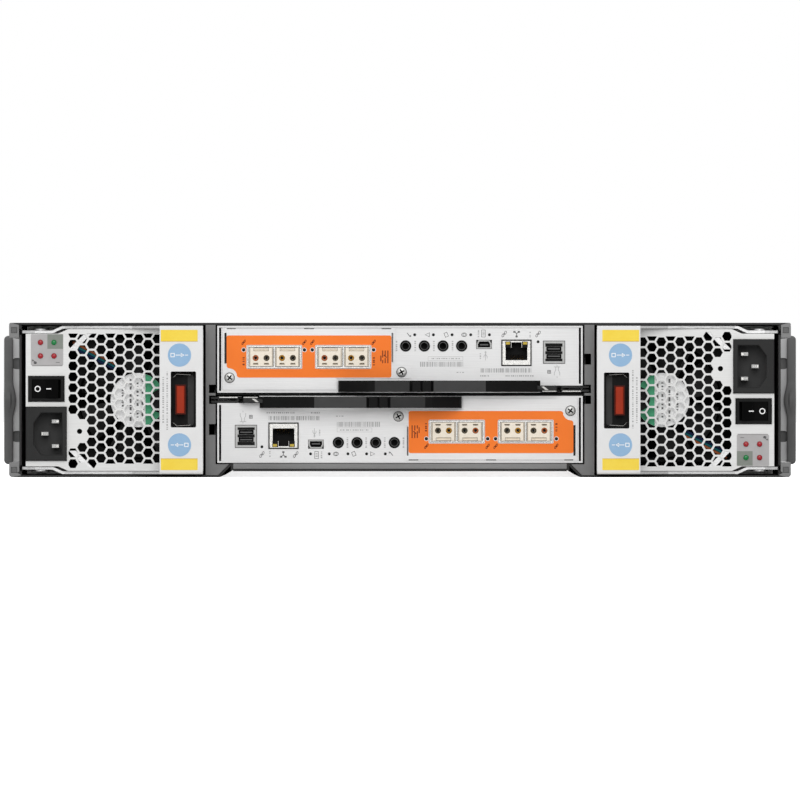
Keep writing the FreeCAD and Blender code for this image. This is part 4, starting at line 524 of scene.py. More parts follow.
# %% Choose materials by place
def paint(node, whole, *regions, middle_z=None):
    """Gives a node one material all over, and each region, a (material, test) pair, its own. A test gets arrays
    x, y, z of the face centres in millimetres, turned back for a twin, and ny, how far each face looks back."""
    mesh = nodes[node].data
    centres, normals = (np.empty(len(mesh.polygons) * 3) for _ in range(2))
    mesh.polygons.foreach_get("center", centres)
    mesh.polygons.foreach_get("normal", normals)
    x, y, z = half_turned(centres.reshape(-1, 3) / MM, middle_z).T
    ny = -normals.reshape(-1, 3)[:, 1]
    mesh.materials.clear()
    mesh.materials.append(whole)
    chosen = np.zeros(len(x), np.int32)
    for i, (material, test) in enumerate(regions):
        mesh.materials.append(material)
        chosen[test(x, y, z, ny)] = i + 1
    mesh.polygons.foreach_set("material_index", chosen)
    mesh.update()
    return np.bincount(chosen, minlength=len(regions) + 1).tolist()


def paint_twins(pair, **parts):
    """Finishes the parts of both twins: each part has one material, or a list of it and of its regions."""
    for name, middle_z in pair:
        for part, finish in parts.items():
            finish = finish if isinstance(finish, list) else [finish]
            print(name, part, "faces by material", paint(f"{name}_{part}", *finish, middle_z=middle_z))


def within(value, low, high):
    """True where a value lies between two others."""
    return (value > low) & (value < high)


def inside(x, z, *rects, grow=0.02):
    """True for points within one of several rectangles (x0, x1, z0, z1), or just round it."""
    return np.any([within(x, x0 - grow, x1 + grow) & within(z, z0 - grow, z1 + grow)
                   for x0, x1, z0, z1 in rects], axis=0)


# %% Finish the case
REAR = corners("top_cover")[0][1]
EAR_Y = corners("base_pan")[1][1]
WALL_X = corners("drive_cage")[1][0]
RAIL_IN = WALL_X + 1.3
FLOOR_FOLD_Z = 8.5
midplane_lo, midplane_hi = corners("midplane")
SOCKETS_REAR, SOCKETS_FRONT = 1.4, 7.9


def is_shaded_edge(x, y, z, ny):
    """True for the rear-facing edges between the corner rails, which are painted near-black as painted shade."""
    return (ny > 0.9) & (y < REAR + 0.5) & (abs(x) < RAIL_IN)


paint("base_pan", case_zinc_painted_shade, (edge_painted_shade, is_shaded_edge), (
    ear_steel, lambda x, y, z, ny: (abs(x) > WALL_X + 1) & (y > EAR_Y - 3) & (z > FLOOR_FOLD_Z)))
paint("top_cover", case_zinc_painted_shade, (edge_painted_shade, is_shaded_edge))
# The controller shelf is painted black: painted shade.
for node, material in (("drive_cage", case_zinc_painted_shade), ("controller_shelf", painted_shade_black), ("divider_left", divider_paint),
                       ("divider_right", divider_paint), ("ear_cap_left", ear_plastic), ("ear_cap_right", ear_plastic)):
    paint(node, material)
print("midplane", paint("midplane", board_green, (
    connector_plastic,
    lambda x, y, z, ny: (y < midplane_lo[1] + SOCKETS_REAR) | (y > midplane_hi[1] - SOCKETS_FRONT))))

# %% [markdown]
# ## The power modules
# The case is nickel-plated sheet, bright where it is folded over the fan. Behind the honeycomb the real module
# looks black. Here the fan fills the opening, and the bulkhead round it is painted black as painted shade.

# %% Finish the power modules
FAN_X, FAN_FRONT = PSU_X0 + 63.6, corners("psu_left_fan_frame")[0][1] + 1.6
FAN_LEFT = FAN_X - 35.0
PIVOT_X, PIVOT_Y, PIVOT_R = PSU_X0 + 8.2, PSU_FACE + 9.0, 5.2
LEAD_PITCH, LEADS_X, LEADS_Z = 1.6, FAN_LEFT - 1.35, PSU_MID_Z + 31.0
BEND_X = LEADS_X + 1.2
BOARD_TOP, WHITE_X = PSU_Z0 + 7.5, PSU_X1 - 25.0
BAFFLE, TRANSFORMER = (36.0, 40.0), (108.0, 176.0)
FOLD = area(24.4, 42.0, -40.0, 40.0)
inlet_lo, inlet_hi = corners("psu_left_power_inlet")
PIN_X, inlet_mid_z = inlet_hi[0] - 6.6, (inlet_lo[2] + inlet_hi[2]) / 2
PINS = [(PIN_X, inlet_lo[2] + 22.45), (PIN_X, inlet_lo[2] + 8.45), (PIN_X - 6.0, inlet_lo[2] + 15.45)]
PIN_RECTS = [(x - 2, x + 2, z - 1, z + 1) for x, z in PINS]


def lead_number(x, z):
    """Which lead a point belongs to, 1 above and -1 below: its height over the middle lead's line, in pitches."""
    slope = 11.5 / (FAN_X - 13.0 - BEND_X)
    line = LEADS_Z - 0.5 * (x > BEND_X) - slope * np.maximum(x - BEND_X, 0)
    return np.rint((z - line) / LEAD_PITCH).astype(int)


def is_lead(sign_wanted):
    """A test for the leads whose number has a sign: where only leads run, before or beside the fan housing."""
    def test(x, y, z, ny):
        high = within(z, PSU_MID_Z + 12, LEADS_Z + 4)
        free = ((y < FAN_FRONT - 0.3) & (x < FAN_X - 12)) | (x < FAN_LEFT - 0.4)
        return high & free & (np.sign(lead_number(x, z)) == sign_wanted)
    return test


paint_twins(
    PSUS,
    case=[module_zinc, (bright_steel, lambda x, y, z, ny: np.hypot(x - PIVOT_X, y - PIVOT_Y) < PIVOT_R),
          (bright_steel, lambda x, y, z, ny: inside(x, z, FOLD, grow=0) & (ny > 0.9) & (y < PSU_FACE + 2.5)),
          # The bulkhead round the fan is painted black: painted shade.
          (painted_shade_black, lambda x, y, z, ny: within(y - FAN_FRONT, *BAFFLE) & (abs(ny) > 0.9))],
    face_plate=module_zinc, vent_grille=module_zinc, switch_frame=frame_plastic, rocker=switch_plastic,
    latch_cup=cup_plastic, release_tab=tab_plastic, fan_rotor=rotor_plastic,
    power_inlet=[inlet_plastic, (inlet_well, lambda x, y, z, ny: (y > inlet_lo[1] + 1.0) & (x < inlet_hi[0] - 2)
                                 & (abs(z - inlet_mid_z) < 13)),
                 # The blades in dull nickel: painted shade.
                 (nickel_dull_and_painted_shade, lambda x, y, z, ny: inside(x, z, *PIN_RECTS) & (y > inlet_lo[1] + 4.8))],
    handle=[bright_steel, (handle_paint, lambda x, y, z, ny: (y < BAND_FACE + 3.2) & (x > WHITE_X))],
    fan_frame=[fan_plastic, (lead_orange, is_lead(1)), (lead_teal, is_lead(0)), (lead_blue, is_lead(-1))],
    power_board=[board_green, (black_sink, lambda x, y, z, ny: (z > BOARD_TOP) & (y > PSU_FACE + 20)),
                 (ferrite_black, lambda x, y, z, ny: (z > BOARD_TOP) & within(y - FAN_FRONT, *TRANSFORMER)),
                 (lamp_film, lambda x, y, z, ny: y < PSU_FACE + 6)])

# %% [markdown]
# ## The controllers
# The canister is plain electrogalvanised sheet. Jacks stand through its face: nickel shells round the network,
# expansion and serial sockets, and black polymer in their mouths. The cam lever is a steel arm in an ABS grip.
# The arm is painted dark as painted shade. The flats of the lever's bow and of the catch look straight back and
# are painted paler than the slopes beside them, as painted light.

# %% Finish the controllers
SAS, LAN, USB = port(10.3, 22.3, 8.8, 21.3), port(29.2, 46.2, 8.0, 22.8), port(51.9, 60.4, 8.2, 13.0)
CAGES = [port(120.8, 151.8, 11.5, 24.0), port(160.2, 190.9, 11.5, 24.0)]
JACK_X, JACK_PITCH, JACK_Z = 68.9, 10.63, 11.5
JACKS = [(CAN_X0 + JACK_X + JACK_PITCH * i, CAN_Z0 + JACK_Z) for i in range(4)]
JACK_ROW = port(JACK_X - 4.0, JACK_X + 3 * JACK_PITCH + 4.0, 8.0, math.inf)
SCREWS, SCREW_R = [(CAN_X0 + 103.1, CAN_Z0 + 26.4), (CAN_X0 + 201.0, CAN_Z0 + 29.6)], 2.7
SINKS, BOARD_Z, ARM_X, BOW_X = (120.0, 240.0), CAN_Z0 + 4.2, CAN_X0 + 24.1, CAN_X0 + 90.0
GRIP_FACE = corners("controller_lower_lever")[0][1]
plate_y = face_at("controller_lower_host_plate", CAGES[0][1] + 3, CAGES[0][2] + 6)


def near_face(y):
    """True for points within 30 mm of the controller's face."""
    return y < CAN_FACE + 30


def on_rim(y, ny):
    """True for faces that look straight back and stand in front of the controller's face."""
    return (ny > 0.9) & (y < CAN_FACE - 0.05)


def on_flat(x, y, z, ny):
    """True for the faces of the lever or the catch that look straight back, which are painted paler as painted light.
    """
    return (ny > 0.99) & (y < GRIP_FACE + 0.1)


def is_screw(x, y, z, ny):
    """True for the screw heads that stand out from the host card's plate."""
    return (y < plate_y - 0.05) & np.any([np.hypot(x - sx, z - sz) < SCREW_R for sx, sz in SCREWS], axis=0)


paint_twins(
    CONTROLLERS, tray=controller_zinc, cover=controller_zinc,
    board=[board_green,
           (aluminium, lambda x, y, z, ny: (z > BOARD_Z) & within(y - CAN_FACE, *SINKS)),
           (connector_plastic, lambda x, y, z, ny: near_face(y) & inside(x, z, SAS, LAN, USB, JACK_ROW)),
           (nickel_dull_and_painted_shade, lambda x, y, z, ny: inside(x, z, SAS, USB) & on_rim(y, ny)),
           (nickel, lambda x, y, z, ny: inside(x, z, LAN) & on_rim(y, ny)),
           (nickel, lambda x, y, z, ny: near_face(y) & inside(x, z, *CAGES))],
    host_plate=[controller_zinc, (screw_steel, is_screw)],
    transceivers=[nickel, (cream_plastic, lambda x, y, z, ny: y < CAN_FACE + 3.0)],
    # The lever's arm in dark steel: painted shade.
    lever=[lever_plastic, (shaded_steel, lambda x, y, z, ny: x < ARM_X),
           (lever_flat_painted_light, lambda x, y, z, ny: on_flat(x, y, z, ny) & (x < BOW_X))],
    catch=[lever_plastic, (catch_flat_painted_light, on_flat)])

# %% [markdown]
# ## The drive carriers
# Twelve alike, so one loop finishes them: a black moulded front, a folded zinc tray and the cast drive in it.

# %% Finish the carriers
DRIVE_HALF, SHEET, FRONT_DEEP = 51.0, 0.7, 30.1
carriers = [f"drive_carrier_{row}{column}" for row in (1, 2, 3) for column in (1, 2, 3, 4)]
for name in carriers:
    lo, hi = corners(name)
    middle, back = (lo[0] + hi[0]) / 2, hi[1] - FRONT_DEEP
    paint(name, drive_metal, (case_zinc_painted_shade, lambda x, y, z, ny: (abs(x - middle) > DRIVE_HALF) | (z < lo[2] + SHEET)),
          (carrier_plastic, lambda x, y, z, ny: y > back))
print("carriers", len(carriers))

# %% [markdown]
# ## A small box of print
# Printed marks on a rack part are lines of one width, so one helper draws any sign from a few paths in a square
# that reaches from -1 to 1. Rows of narrow bars stand for lines of small print and for stock-room bar patterns:
# they give the eye the same grey without a word on them.

# %% Signs and rows of bars
def ring(x, z, wide, high, count=14):
    """A closed oval path with half sizes wide and high."""
    return arc(x, z, (wide, high), 0, 360, count + 1)


def frame_path(x, z, wide, high):
    """A closed rectangle round (x, z) with half sizes wide and high."""
    return quad(x - wide, x + wide, z - high, z + high)[[0, 1, 2, 3, 0]]


def sign(lines, x, z, y, size, width=0.25, turn=0.0):
    """A small printed sign: each path is scaled by the size, turned, and moved to (x, z). Where a path's ends
    meet, the ribbon along it is closed."""
    cos, sin = math.cos(turn), math.sin(turn)
    made = []
    for line in lines:
        path = np.asarray(line, float)
        closed = bool(np.allclose(path[0], path[-1]))
        path = (path[:-1] if closed else path) * np.broadcast_to(size, 2) @ np.array([(cos, sin), (-sin, cos)])
        made.append(stroke(path + (x, z), width, y, closed))
    return made


def signs(x, z, y, rows):
    """Several signs: a row holds paths, the way along x and along z from (x, z), and the size, width and turn."""
    return [shape for lines, dx, dz, *look in rows for shape in sign(lines, x + dx, z + dz, y, *look)]


def bars(x, z, y, rows, upright=True):
    """Bars side by side: a row holds x0, x1, z0 and z1 from (x, z), how many bars, and a seed. Bar and gap
    widths are seeded random shares of the run. Lying bars are the same with x and z changed over."""
    made = []
    for x0, x1, z0, z1, count, seed in rows:
        along, across = (x0 + x, x1 + x), (z0 + z, z1 + z)
        if not upright:
            along, across = across, along
        share = np.random.default_rng(seed).uniform(0.4, 1.6, 2 * count - 1)
        edges = along[0] + (along[1] - along[0]) * np.concatenate([[0], np.cumsum(share) / share.sum()])
        for a, b in zip(edges[:-1:2], edges[1::2]):
            outline = quad(a, b, *across)
            made.append(film(outline if upright else outline[:, ::-1], y, INK))
    return made


DASH = [[(-1, 0), (1, 0)]]
LINK = [ring(-0.3, -0.5, 0.42, 0.52), ring(0.3, 0.5, 0.42, 0.52), [(-0.2, -0.35), (0.2, 0.35)]]
PAGE = [frame_path(0, 0, 0.7, 1.0)] + [[(-0.4, z), (0.4, z)] for z in (0.4, 0.0, -0.4)]
EYE = [ring(0, 0, 1.0, 0.7), ring(0, 0, 0.45, 0.6)]
TIPPED = [frame_path(0, 0, 0.6, 0.8)]
ARROW = [[(-0.8, -0.8), (0.9, 0.0), (-0.8, 0.8), (-0.8, -0.8)]]
SPANNER = [[(-0.9, 0.8), (-0.3, 0.7), (0.9, -0.8)], [(-0.8, 0.2), (-0.3, 0.7)]]
TREE = [[(0, 1), (0, -0.2)], [(-0.9, -0.9), (0, -0.2), (0.9, -0.9)], frame_path(0, 1, 0.3, 0.2),
        frame_path(-0.9, -0.9, 0.3, 0.2), frame_path(0.9, -0.9, 0.3, 0.2)]
FORK = [[(0, -1), (0, 1)], [(-0.7, 0.5), (-0.7, 0.0), (0, -0.5), (0.7, -0.1), (0.7, 0.3)], ring(0, -1, 0.25, 0.2)]
CABLE = [[(-0.6, 0.6), (-0.6, 0.2), (-0.3, -0.2), (-0.3, -0.7)], [(0.6, 0.6), (0.6, 0.2), (0.3, -0.2), (0.3, -0.7)],
         [(0, 1), (0, 0.75)], [(0, -0.75), (0, -1)], [(-0.7, -0.7), (0.7, -0.7)]]
GRID = [frame_path(0, 0, 1, 1), [(0, -1), (0, 1)], [(-1, 0), (1, 0)]]
PULL = [frame_path(-0.8, 0, 0.2, 0.2), [(-0.45, 0), (0.2, 0)], [(0.2, -0.18), (0.5, 0), (0.2, 0.18), (0.2, -0.18)],
        [(0.65, 0), (1.0, 0)]]
SLOT_MARK = [[(-1, -1), (-1, 1)], [(-0.2, -1), (-0.2, -0.2)], [(-0.2, 0.2), (-0.2, 1)], [(0.55, -1), (0.55, 0.1)],
             [(0.55, 0.5), (0.55, 1)], [(-0.6, 0.1), (0.2, -0.3)], [(1.1, -0.2), (1.1, 0.7)]]
print("signs", len([DASH, LINK, PAGE, EYE, TIPPED, ARROW, SPANNER, TREE, FORK, CABLE, GRID, PULL, SLOT_MARK]))

# %% [markdown]
# ## Films on the handle of a power module
# The handle's face carries two yellow bands at its ends and two blue discs with a sign for pulling the module.
# They are die-cut polyester, so they are thin solids with a real edge, and they ride on the handle when it turns.

# %% Bands and discs
BAND_MID_X, BAND_LEFT, BAND_RIGHT, BAND_IN, BAND_OUT = -125.2, 10.6, 10.3, 33.4, 39.8
DISC_R, DISC_OFF, PULL_SIZE = 6.6, 25.5, 4.9
HANDLE_PRINT = [(-9.7, -8.8, -12.95, 13.05, 22, 5), (-7.4, -6.6, -16.95, 16.05, 26, 6)]
band_x0, band_x1, film_y = BAND_MID_X - BAND_LEFT, BAND_MID_X + BAND_RIGHT, BAND_FACE - FILM
bands, edges, discs, pulls = [], [], [], []
for side in (1, -1):
    z_in, z_out = PSU_MID_Z + side * BAND_IN, PSU_MID_Z + side * BAND_OUT
    bands.append(film(rounded(band_x0, band_x1, *sorted((z_in, z_out)), 0.4), BAND_FACE))
    # A darker yellow line along each band's inner edge: painted shade.
    edges.append(stroke([(band_x0, z_in), (band_x1, z_in)], 0.45, film_y))
    disc_z = PSU_MID_Z + side * DISC_OFF
    discs.append(film(circle(BAND_MID_X, disc_z, DISC_R), BAND_FACE))
    pulls += sign(PULL, BAND_MID_X, disc_z, film_y, (PULL_SIZE * side, PULL_SIZE), 0.4)
faint = bars(BAND_MID_X, PSU_MID_Z, BAND_FACE, HANDLE_PRINT, upright=False)
twins(PSUS, "handle_white", ("yellow_bands", bands, yellow_film), ("band_edges", edges, yellow_shade),
      ("blue_discs", discs, blue_film), ("disc_signs", pulls, white_ink), ("faint_print", faint, pale_ink),
      body="_handle_body")
print("faint print of", len(faint), "bars")

# %% [markdown]
# ## Lamps of a power module
# Four lamps look out through a grey film. Each is a clear stub on the board and a coloured lens in front of it.
# A darker patch of film lies round the green one, which says that mains is present.

# %% Lamp film and lenses
LAMPS = [(PSU_X0 + x, PSU_MID_Z + z) for z in (25.1, 32.8) for x in (8.35, 16.05)]
LAMP_MARKS = [(SPANNER, 4.6, 21.8, 1.3, 0.4), (EYE, 5.4, 21.2, 0.8, 0.3), (DASH, 18.2, 21.4, 1.1, 0.3)]
stub_y, film_y = face_at("psu_left_power_board", *LAMPS[0]), PSU_FACE - FILM
lenses = [dome(x, stub_y + 0.2, z, 1.6, 0.7, 0.1) for x, z in LAMPS]
twins(PSUS, "module_steel", ("lamp_film", [film(rounded(*area(2.9, 21.3, 19.8, 37.5), 0.5), PSU_FACE)], lamp_film),
      ("lamp_patch", [film(quad(*area(12.3, 21.2, 29.1, 37.4)), film_y, INK)], lamp_patch),
      ("red_lenses", lenses[:3], red_lens, True), ("green_lens", lenses[3:], green_lens, True),
      ("lamp_marks", signs(PSU_X0, PSU_MID_Z, film_y, LAMP_MARKS), grey_ink_and_painted_shadow))
print("lamps", np.round(LAMPS, 1).tolist(), "stub at y", round(stub_y, 2))

# %% [markdown]
# ## Marks on the rocker
# A power rocker has a ring on one half and a bar on the other, filled with white paint. The rocker is tilted, so
# its marks lie on a slanted plane: two rays give the slope, and y grows by the slope times the way along x.

# %% Rocker marks
ROCKER_Z = PSU_MID_Z + 6.35


def leaned(shapes, node, x0, x1, z):
    """Leans shapes that were drawn at y = 0 on a sloping side of a node, as two rays at x0 and x1 find it."""
    y0, y1 = face_at(node, x0, z), face_at(node, x1, z)
    slope = (y1 - y0) / (x1 - x0)
    return [(points + np.outer(y0 + slope * (points[:, 0] - x0), (0, 1, 0)), faces) for points, faces in shapes]


rocker_marks = leaned(sign([ring(0, 0, 1, 1, 28)], PSU_X0 + 6.8, ROCKER_Z, 0.0, 1.45, 0.55),
                      "psu_left_rocker", PSU_X0 + 5.0, PSU_X0 + 9.0, ROCKER_Z)
rocker_marks += leaned(sign(DASH, PSU_X0 + 13.1, ROCKER_Z, 0.0, 1.4, 0.6),
                       "psu_left_rocker", PSU_X0 + 12.2, PSU_X0 + 14.2, ROCKER_Z)
twins(PSUS, "rocker_plastic", ("rocker_marks", rocker_marks, white_ink), body="_rocker_body")
print("rocker marks", len(rocker_marks))

# %% [markdown]
# ## Blades of the mains inlet
# The three blades are nickel-plated brass, drawn in dull nickel as painted shade deep in their dark well. At
# their chamfered tips, short dashes of bright nickel are pieces of their own: painted glints.

# %% Painted glints on the blade tips
LINE_TIP = [(0.35, 2.0, -0.75, 0.75, 0.1), (-2.0, -0.1, -0.25, 0.2, 0.08)]
EARTH_TIP = [(-2.0, -0.9, -0.75, 0.75, 0.1), (-0.6, 1.6, -0.3, 0.2, 0.08)]
tip_y = face_at("psu_left_power_inlet", *PINS[0])
# Bright nickel dashes at the blade tips: painted glints.
tips = [block(x + x0, x + x1, tip_y - 0.12, tip_y + 0.5, z + z0, z + z1, cut)
        for (x, z), dashes in zip(PINS, (LINE_TIP, LINE_TIP, EARTH_TIP)) for x0, x1, z0, z1, cut in dashes]
x0, x1, z0, z1 = inlet_lo[0] + 4.3, inlet_hi[0] - 2.5, inlet_lo[2] + 3.3, inlet_hi[2] - 3.3
# A black line round the inlet's octagonal well: painted shadow.
rim = [(x0, z0 + 6.0), (x0 + 4.4, z0), (x1, z0), (x1, z1), (x0 + 4.4, z1), (x0, z1 - 6.0)]
inlet_rim = stroke(rim, 0.4, inlet_lo[1], True)
twins(PSUS, "black_plastic", ("blade_tips", tips, nickel), ("inlet_rim", [inlet_rim], black_ink_and_painted_shadow))
print("blade tips at y", round(tip_y, 2))

# %% [markdown]
# ## The label on the fan
# A paper-white disc with rows of print is stuck on the fan's hub. To its right lie a green field and a black
# round mark. All of it is seen in pieces through the honeycomb, which makes it one of the liveliest spots of the
# rear view. The green field is the same disc cut along a chord: its outline is an arc and a straight line.

# %% Fan label
LABEL_R, CHORD = 15.4, 4.4
LABEL_PRINT = [(x, x + 1.1, -half, half, 9, 30 + i)
               for i, (x, half) in enumerate(((-9.1, 6.0), (-4.6, 12.0), (-0.6, 10.0), (2.2, 12.5)))]
hub_y = face_at("psu_left_fan_frame", FAN_X, PSU_MID_Z)
label_y, green_r = hub_y - FILM, LABEL_R - 0.05
half_angle = math.degrees(math.acos(CHORD / green_r))
green_field = film(arc(FAN_X, PSU_MID_Z, green_r, -half_angle, half_angle, 28), label_y, INK)
round_mark = film(circle(FAN_X + 14.0, PSU_MID_Z - 0.6, 7.0), label_y - INK, INK)
rows_of_print = bars(FAN_X, PSU_MID_Z, label_y, LABEL_PRINT, upright=False)
twins(PSUS, "fan_plastic", ("fan_label", [film(circle(FAN_X, PSU_MID_Z, LABEL_R, 64), hub_y)], white_film),
      ("fan_label_green", [green_field], green_film), ("fan_label_print", rows_of_print, grey_ink_and_painted_shadow),
      ("fan_label_mark", [round_mark], black_ink_and_painted_shadow))
print("fan label at y", round(hub_y, 2))

# %% [markdown]
# ## The latch in the handle
# In the black cup of the handle lies a bent spring wire above and below the red tab. It shows as thin bright
# lines, a wide V at each end. Beside the tab stands the cup's cheek, painted paler than the cup as painted light.

# %% Spring wires, painted light on the cheek and painted shade round the tab
cup_lo, cup_hi = corners("psu_left_latch_cup")
tab_lo, tab_hi = corners("psu_left_release_tab")
CHEEK = (tab_hi[0] + 0.9, cup_hi[0] - 2.6, PSU_MID_Z - 14.4, PSU_MID_Z + 14.4)
tab_y = face_at("psu_left_release_tab", (tab_lo[0] + tab_hi[0]) / 2, PSU_MID_Z)
cheek_y = face_at("psu_left_latch_cup", (CHEEK[0] + CHEEK[1]) / 2, PSU_MID_Z)
SPRING_IN, SPRING_OFF, SPRING_R = 5.0, 15.2, 0.22
wires = []
for side in (1, -1):
    y, z = cup_lo[1] + SPRING_IN, PSU_MID_Z + side * SPRING_OFF
    wires.append(wire([(cup_lo[0] + 2.2, y, z - side * 2.6), (cup_lo[0] + 4.6, y - 1.5, z - side * 0.4),
                       (cup_hi[0] - 4.5, y - 1.5, z - side * 0.9), (cup_hi[0] - 2.2, y, z + side * 0.8)], SPRING_R))
# A dark red ring round the tab's face: painted shade.
tab_edge = stroke(quad(tab_lo[0], tab_hi[0], tab_lo[2], tab_hi[2], -0.4), 0.75, tab_y, True)
# The cheek, paler than the cup: painted light.
cheek = film(rounded(*CHEEK, 1.6), cheek_y, 0.3)
for twin in PSUS:
    twins([twin], "release_red", ("tab_edge", [tab_edge], tab_shade), body="_tab_body")
    twins([twin], "black_plastic", ("latch_cheek", [cheek], cheek_painted_light), ("latch_spring", wires, nickel, True),
          body="_handle_body")
print("latch cheek", np.round(CHEEK, 1), "cup", cup_lo.round(1), cup_hi.round(1))

# %% [markdown]
# ## Sockets of a controller
# Each socket has a black ring of painted shadow round its shell, bright contacts inside, and small light pipes where it
# has lamps.

# %% Socket trims
lan_x0, lan_x1, lan_z0, lan_z1 = LAN
sas_x0, sas_x1, sas_z0, _ = SAS
lan_mid, usb_mid_x, usb_mid_z = (lan_x0 + lan_x1) / 2, (USB[0] + USB[1]) / 2, (USB[2] + USB[3]) / 2
lan_y = face_at("controller_lower_board", lan_x0 + 1.0, lan_z0 + 6.0)
sas_y = face_at("controller_lower_board", sas_x0 + 0.6, sas_z0 + 0.6)
usb_y = face_at("controller_lower_board", usb_mid_x, USB[3] - 0.3)
jack_y = face_at("controller_lower_board", JACKS[0][0] + 2.6, JACKS[0][1])
socket_shadow_rings = [stroke(quad(*LAN, -0.28), 0.62, lan_y, True), stroke(quad(*SAS, 0.15), 0.35, CAN_FACE, True),
        stroke(quad(*USB, 0.1), 0.22, CAN_FACE, True)]
wells = [film(quad(x, x + 3.3, lan_z0 + 0.95, lan_z0 + 4.4), lan_y, INK) for x in (lan_x0 + 2.1, lan_x1 - 5.4)]
pipes = [block(x, x + 2.4, lan_y - 0.2, lan_y + 0.6, lan_z0 + 1.2, lan_z0 + 2.7, 0.1)
         for x in (lan_x0 + 2.4, lan_x1 - 4.8)]
contacts = [wire([(x, lan_y + 3.0, lan_z1 - 4.0), (x, lan_y + 9.0, lan_z1 - 6.2)], 0.2, 6)
            for x in lan_mid + (np.arange(8) - 3.5) * 1.02]
shroud = [film(quad(sas_x0 + 1.2, sas_x1 - 1.0, sas_z0 + low, sas_z0 + high), sas_y, INK)
          for low, high in ((1.2, 3.15), (5.75, 7.35), (9.95, 11.4))]
tongues = [block(sas_x0 + 2.6, sas_x1 - 2.4, sas_y + 1.0, sas_y + 8.0, sas_z0 + z - 0.45, sas_z0 + z + 0.35, 0.15)
           for z in (4.4, 8.6)]
tongues.append(block(usb_mid_x - 2.4, usb_mid_x + 2.4, usb_y + 1.2, usb_y + 6.0, usb_mid_z - 0.2, usb_mid_z + 0.6, 0.1))
jack_rings = [stroke(circle(x, z, 2.15, 28), 0.22, jack_y, True) for x, z in JACKS]
twins(CONTROLLERS, "controller_steel", ("socket_gaps", socket_shadow_rings, black_ink_and_painted_shadow), ("network_wells", wells, connector_plastic),
      ("network_lamps", pipes, amber_lens), ("network_contacts", contacts, gold),
      ("expansion_shroud", shroud, connector_plastic), ("socket_tongues", tongues, grey_ink_and_painted_shadow),
      ("jack_rings", jack_rings, grey_ink_and_painted_shadow))
print("socket faces at y", round(lan_y, 2), round(sas_y, 2), round(usb_y, 2))

# %% [markdown]
# ## Lamps and print on the controller's face
# Six small lamp holes stand in the sheet, each with a sign beside it. Lines of small print and two bar patterns
# are screened over the sockets. The lamp holes are lenses set a little back, dark because nothing is powered.

# %% Controller lamps and print
LEDS = [(CAN_X0 + 53.1 + JACK_PITCH * i, CAN_Z0 + 5.1) for i in range(5)] + [(CAN_X0 + 25.4, CAN_Z0 + 9.1)]
FACE_SIGNS = [
    (LINK, 25.4, 4.7, (1.3, 1.9), 0.3, -0.35), (LINK, 44.7, 4.7, (1.3, 1.9), 0.3, -0.35), (TREE, 37.6, 4.7, 1.4, 0.4),
    (PAGE, 56.5, 4.4, (1.5, 2.0), 0.25), (EYE, 67.5, 5.1, 1.5, 0.28), (TIPPED, 77.7, 5.1, 1.5, 0.28, 0.4),
    (ARROW, 88.4, 5.1, 1.4, 0.28), (SPANNER, 98.8, 5.1, 1.3, 0.4), (GRID, 19.1, 26.2, 0.85, 0.3)]
PALE_SIGNS = [(CABLE, 14.6, 26.0, (2.6, 3.7), 0.28), (FORK, 55.3, 17.4, (1.3, 2.3), 0.25),
              ([frame_path(0, 0, 1, 1)], 78.1, 18.7, (9.9, 1.15), 0.14)]
UPRIGHT = [(29.3, 58.1, 24.2, 26.6, 34, 11), (68.1, 92.5, 20.5, 23.3, 30, 12), (70.0, 86.0, 18.3, 19.0, 16, 13),
           (28.0, 44.0, 28.1, 28.9, 14, 14), (53.4, 58.3, 28.1, 28.9, 5, 15), (67.6, 71.8, 26.3, 26.8, 3, 16)]
LYING = [(x - 5.9, x - 5.0, JACK_Z - 2.9, JACK_Z + 2.9, 6, 40 + i)
         for i, x in enumerate(JACK_X + JACK_PITCH * np.arange(1, 5))]
LYING += [(58.9, 59.7, 2.6, 6.4, 4, 17), (57.9, 58.6, 15.6, 18.8, 4, 18), (29.6, 30.3, 3.4, 6.6, 3, 19)]
lamp_lenses = [dome(x, CAN_FACE + 0.1, z, 0.85, 0.15, 0.1, 20) for x, z in LEDS]
face = (CAN_X0, CAN_Z0, CAN_FACE)
small_print = signs(*face, PALE_SIGNS) + bars(*face, UPRIGHT) + bars(*face, LYING, upright=False)
twins(CONTROLLERS, "controller_steel", ("lamp_lenses", lamp_lenses, clear_lens, True),
      ("signs", signs(*face, FACE_SIGNS), grey_ink_and_painted_shadow), ("small_print", small_print, pale_ink))
print("small print", len(small_print), "shapes")

# %% [markdown]
# ## Painted highlights on the cam lever
# The lever's steel arm is painted dark as painted shade. Its upper edge and the bevel where the grip begins
# carry strips of bright nickel: painted highlights. Both lie on planes that lean, so they are drawn flat and then
# leaned, as the rocker's marks were.

# %% Painted highlights
top = CAN_Z0 + 37.5
near, far = (CAN_X0 + 1.0, CAN_X0 + 11.5), (CAN_X0 + 15.0, CAN_X0 + 23.0)
bevel = film([(far[1] + dx, top + dz) for dx, dz in ((-3.4, -1.0), (-1.6, -1.0), (0.6, -2.9), (-1.0, -2.9))], 0.0, INK)
# Bright nickel strips on the arm's upper edge and on the bevel: painted highlights.
painted_highlights = []
for (x0, x1), more in ((near, []), (far, [bevel])):
    edge = film(rounded(x0, x1, top - 0.5, top, 0.1), 0.0, INK)
    painted_highlights += leaned([edge] + more, "controller_lower_lever", x0, x1, top - 0.3)
twins(CONTROLLERS, "controller_steel", ("rubbed_edges", painted_highlights, nickel), body="_lever_body")
print("rubbed edges", len(painted_highlights))

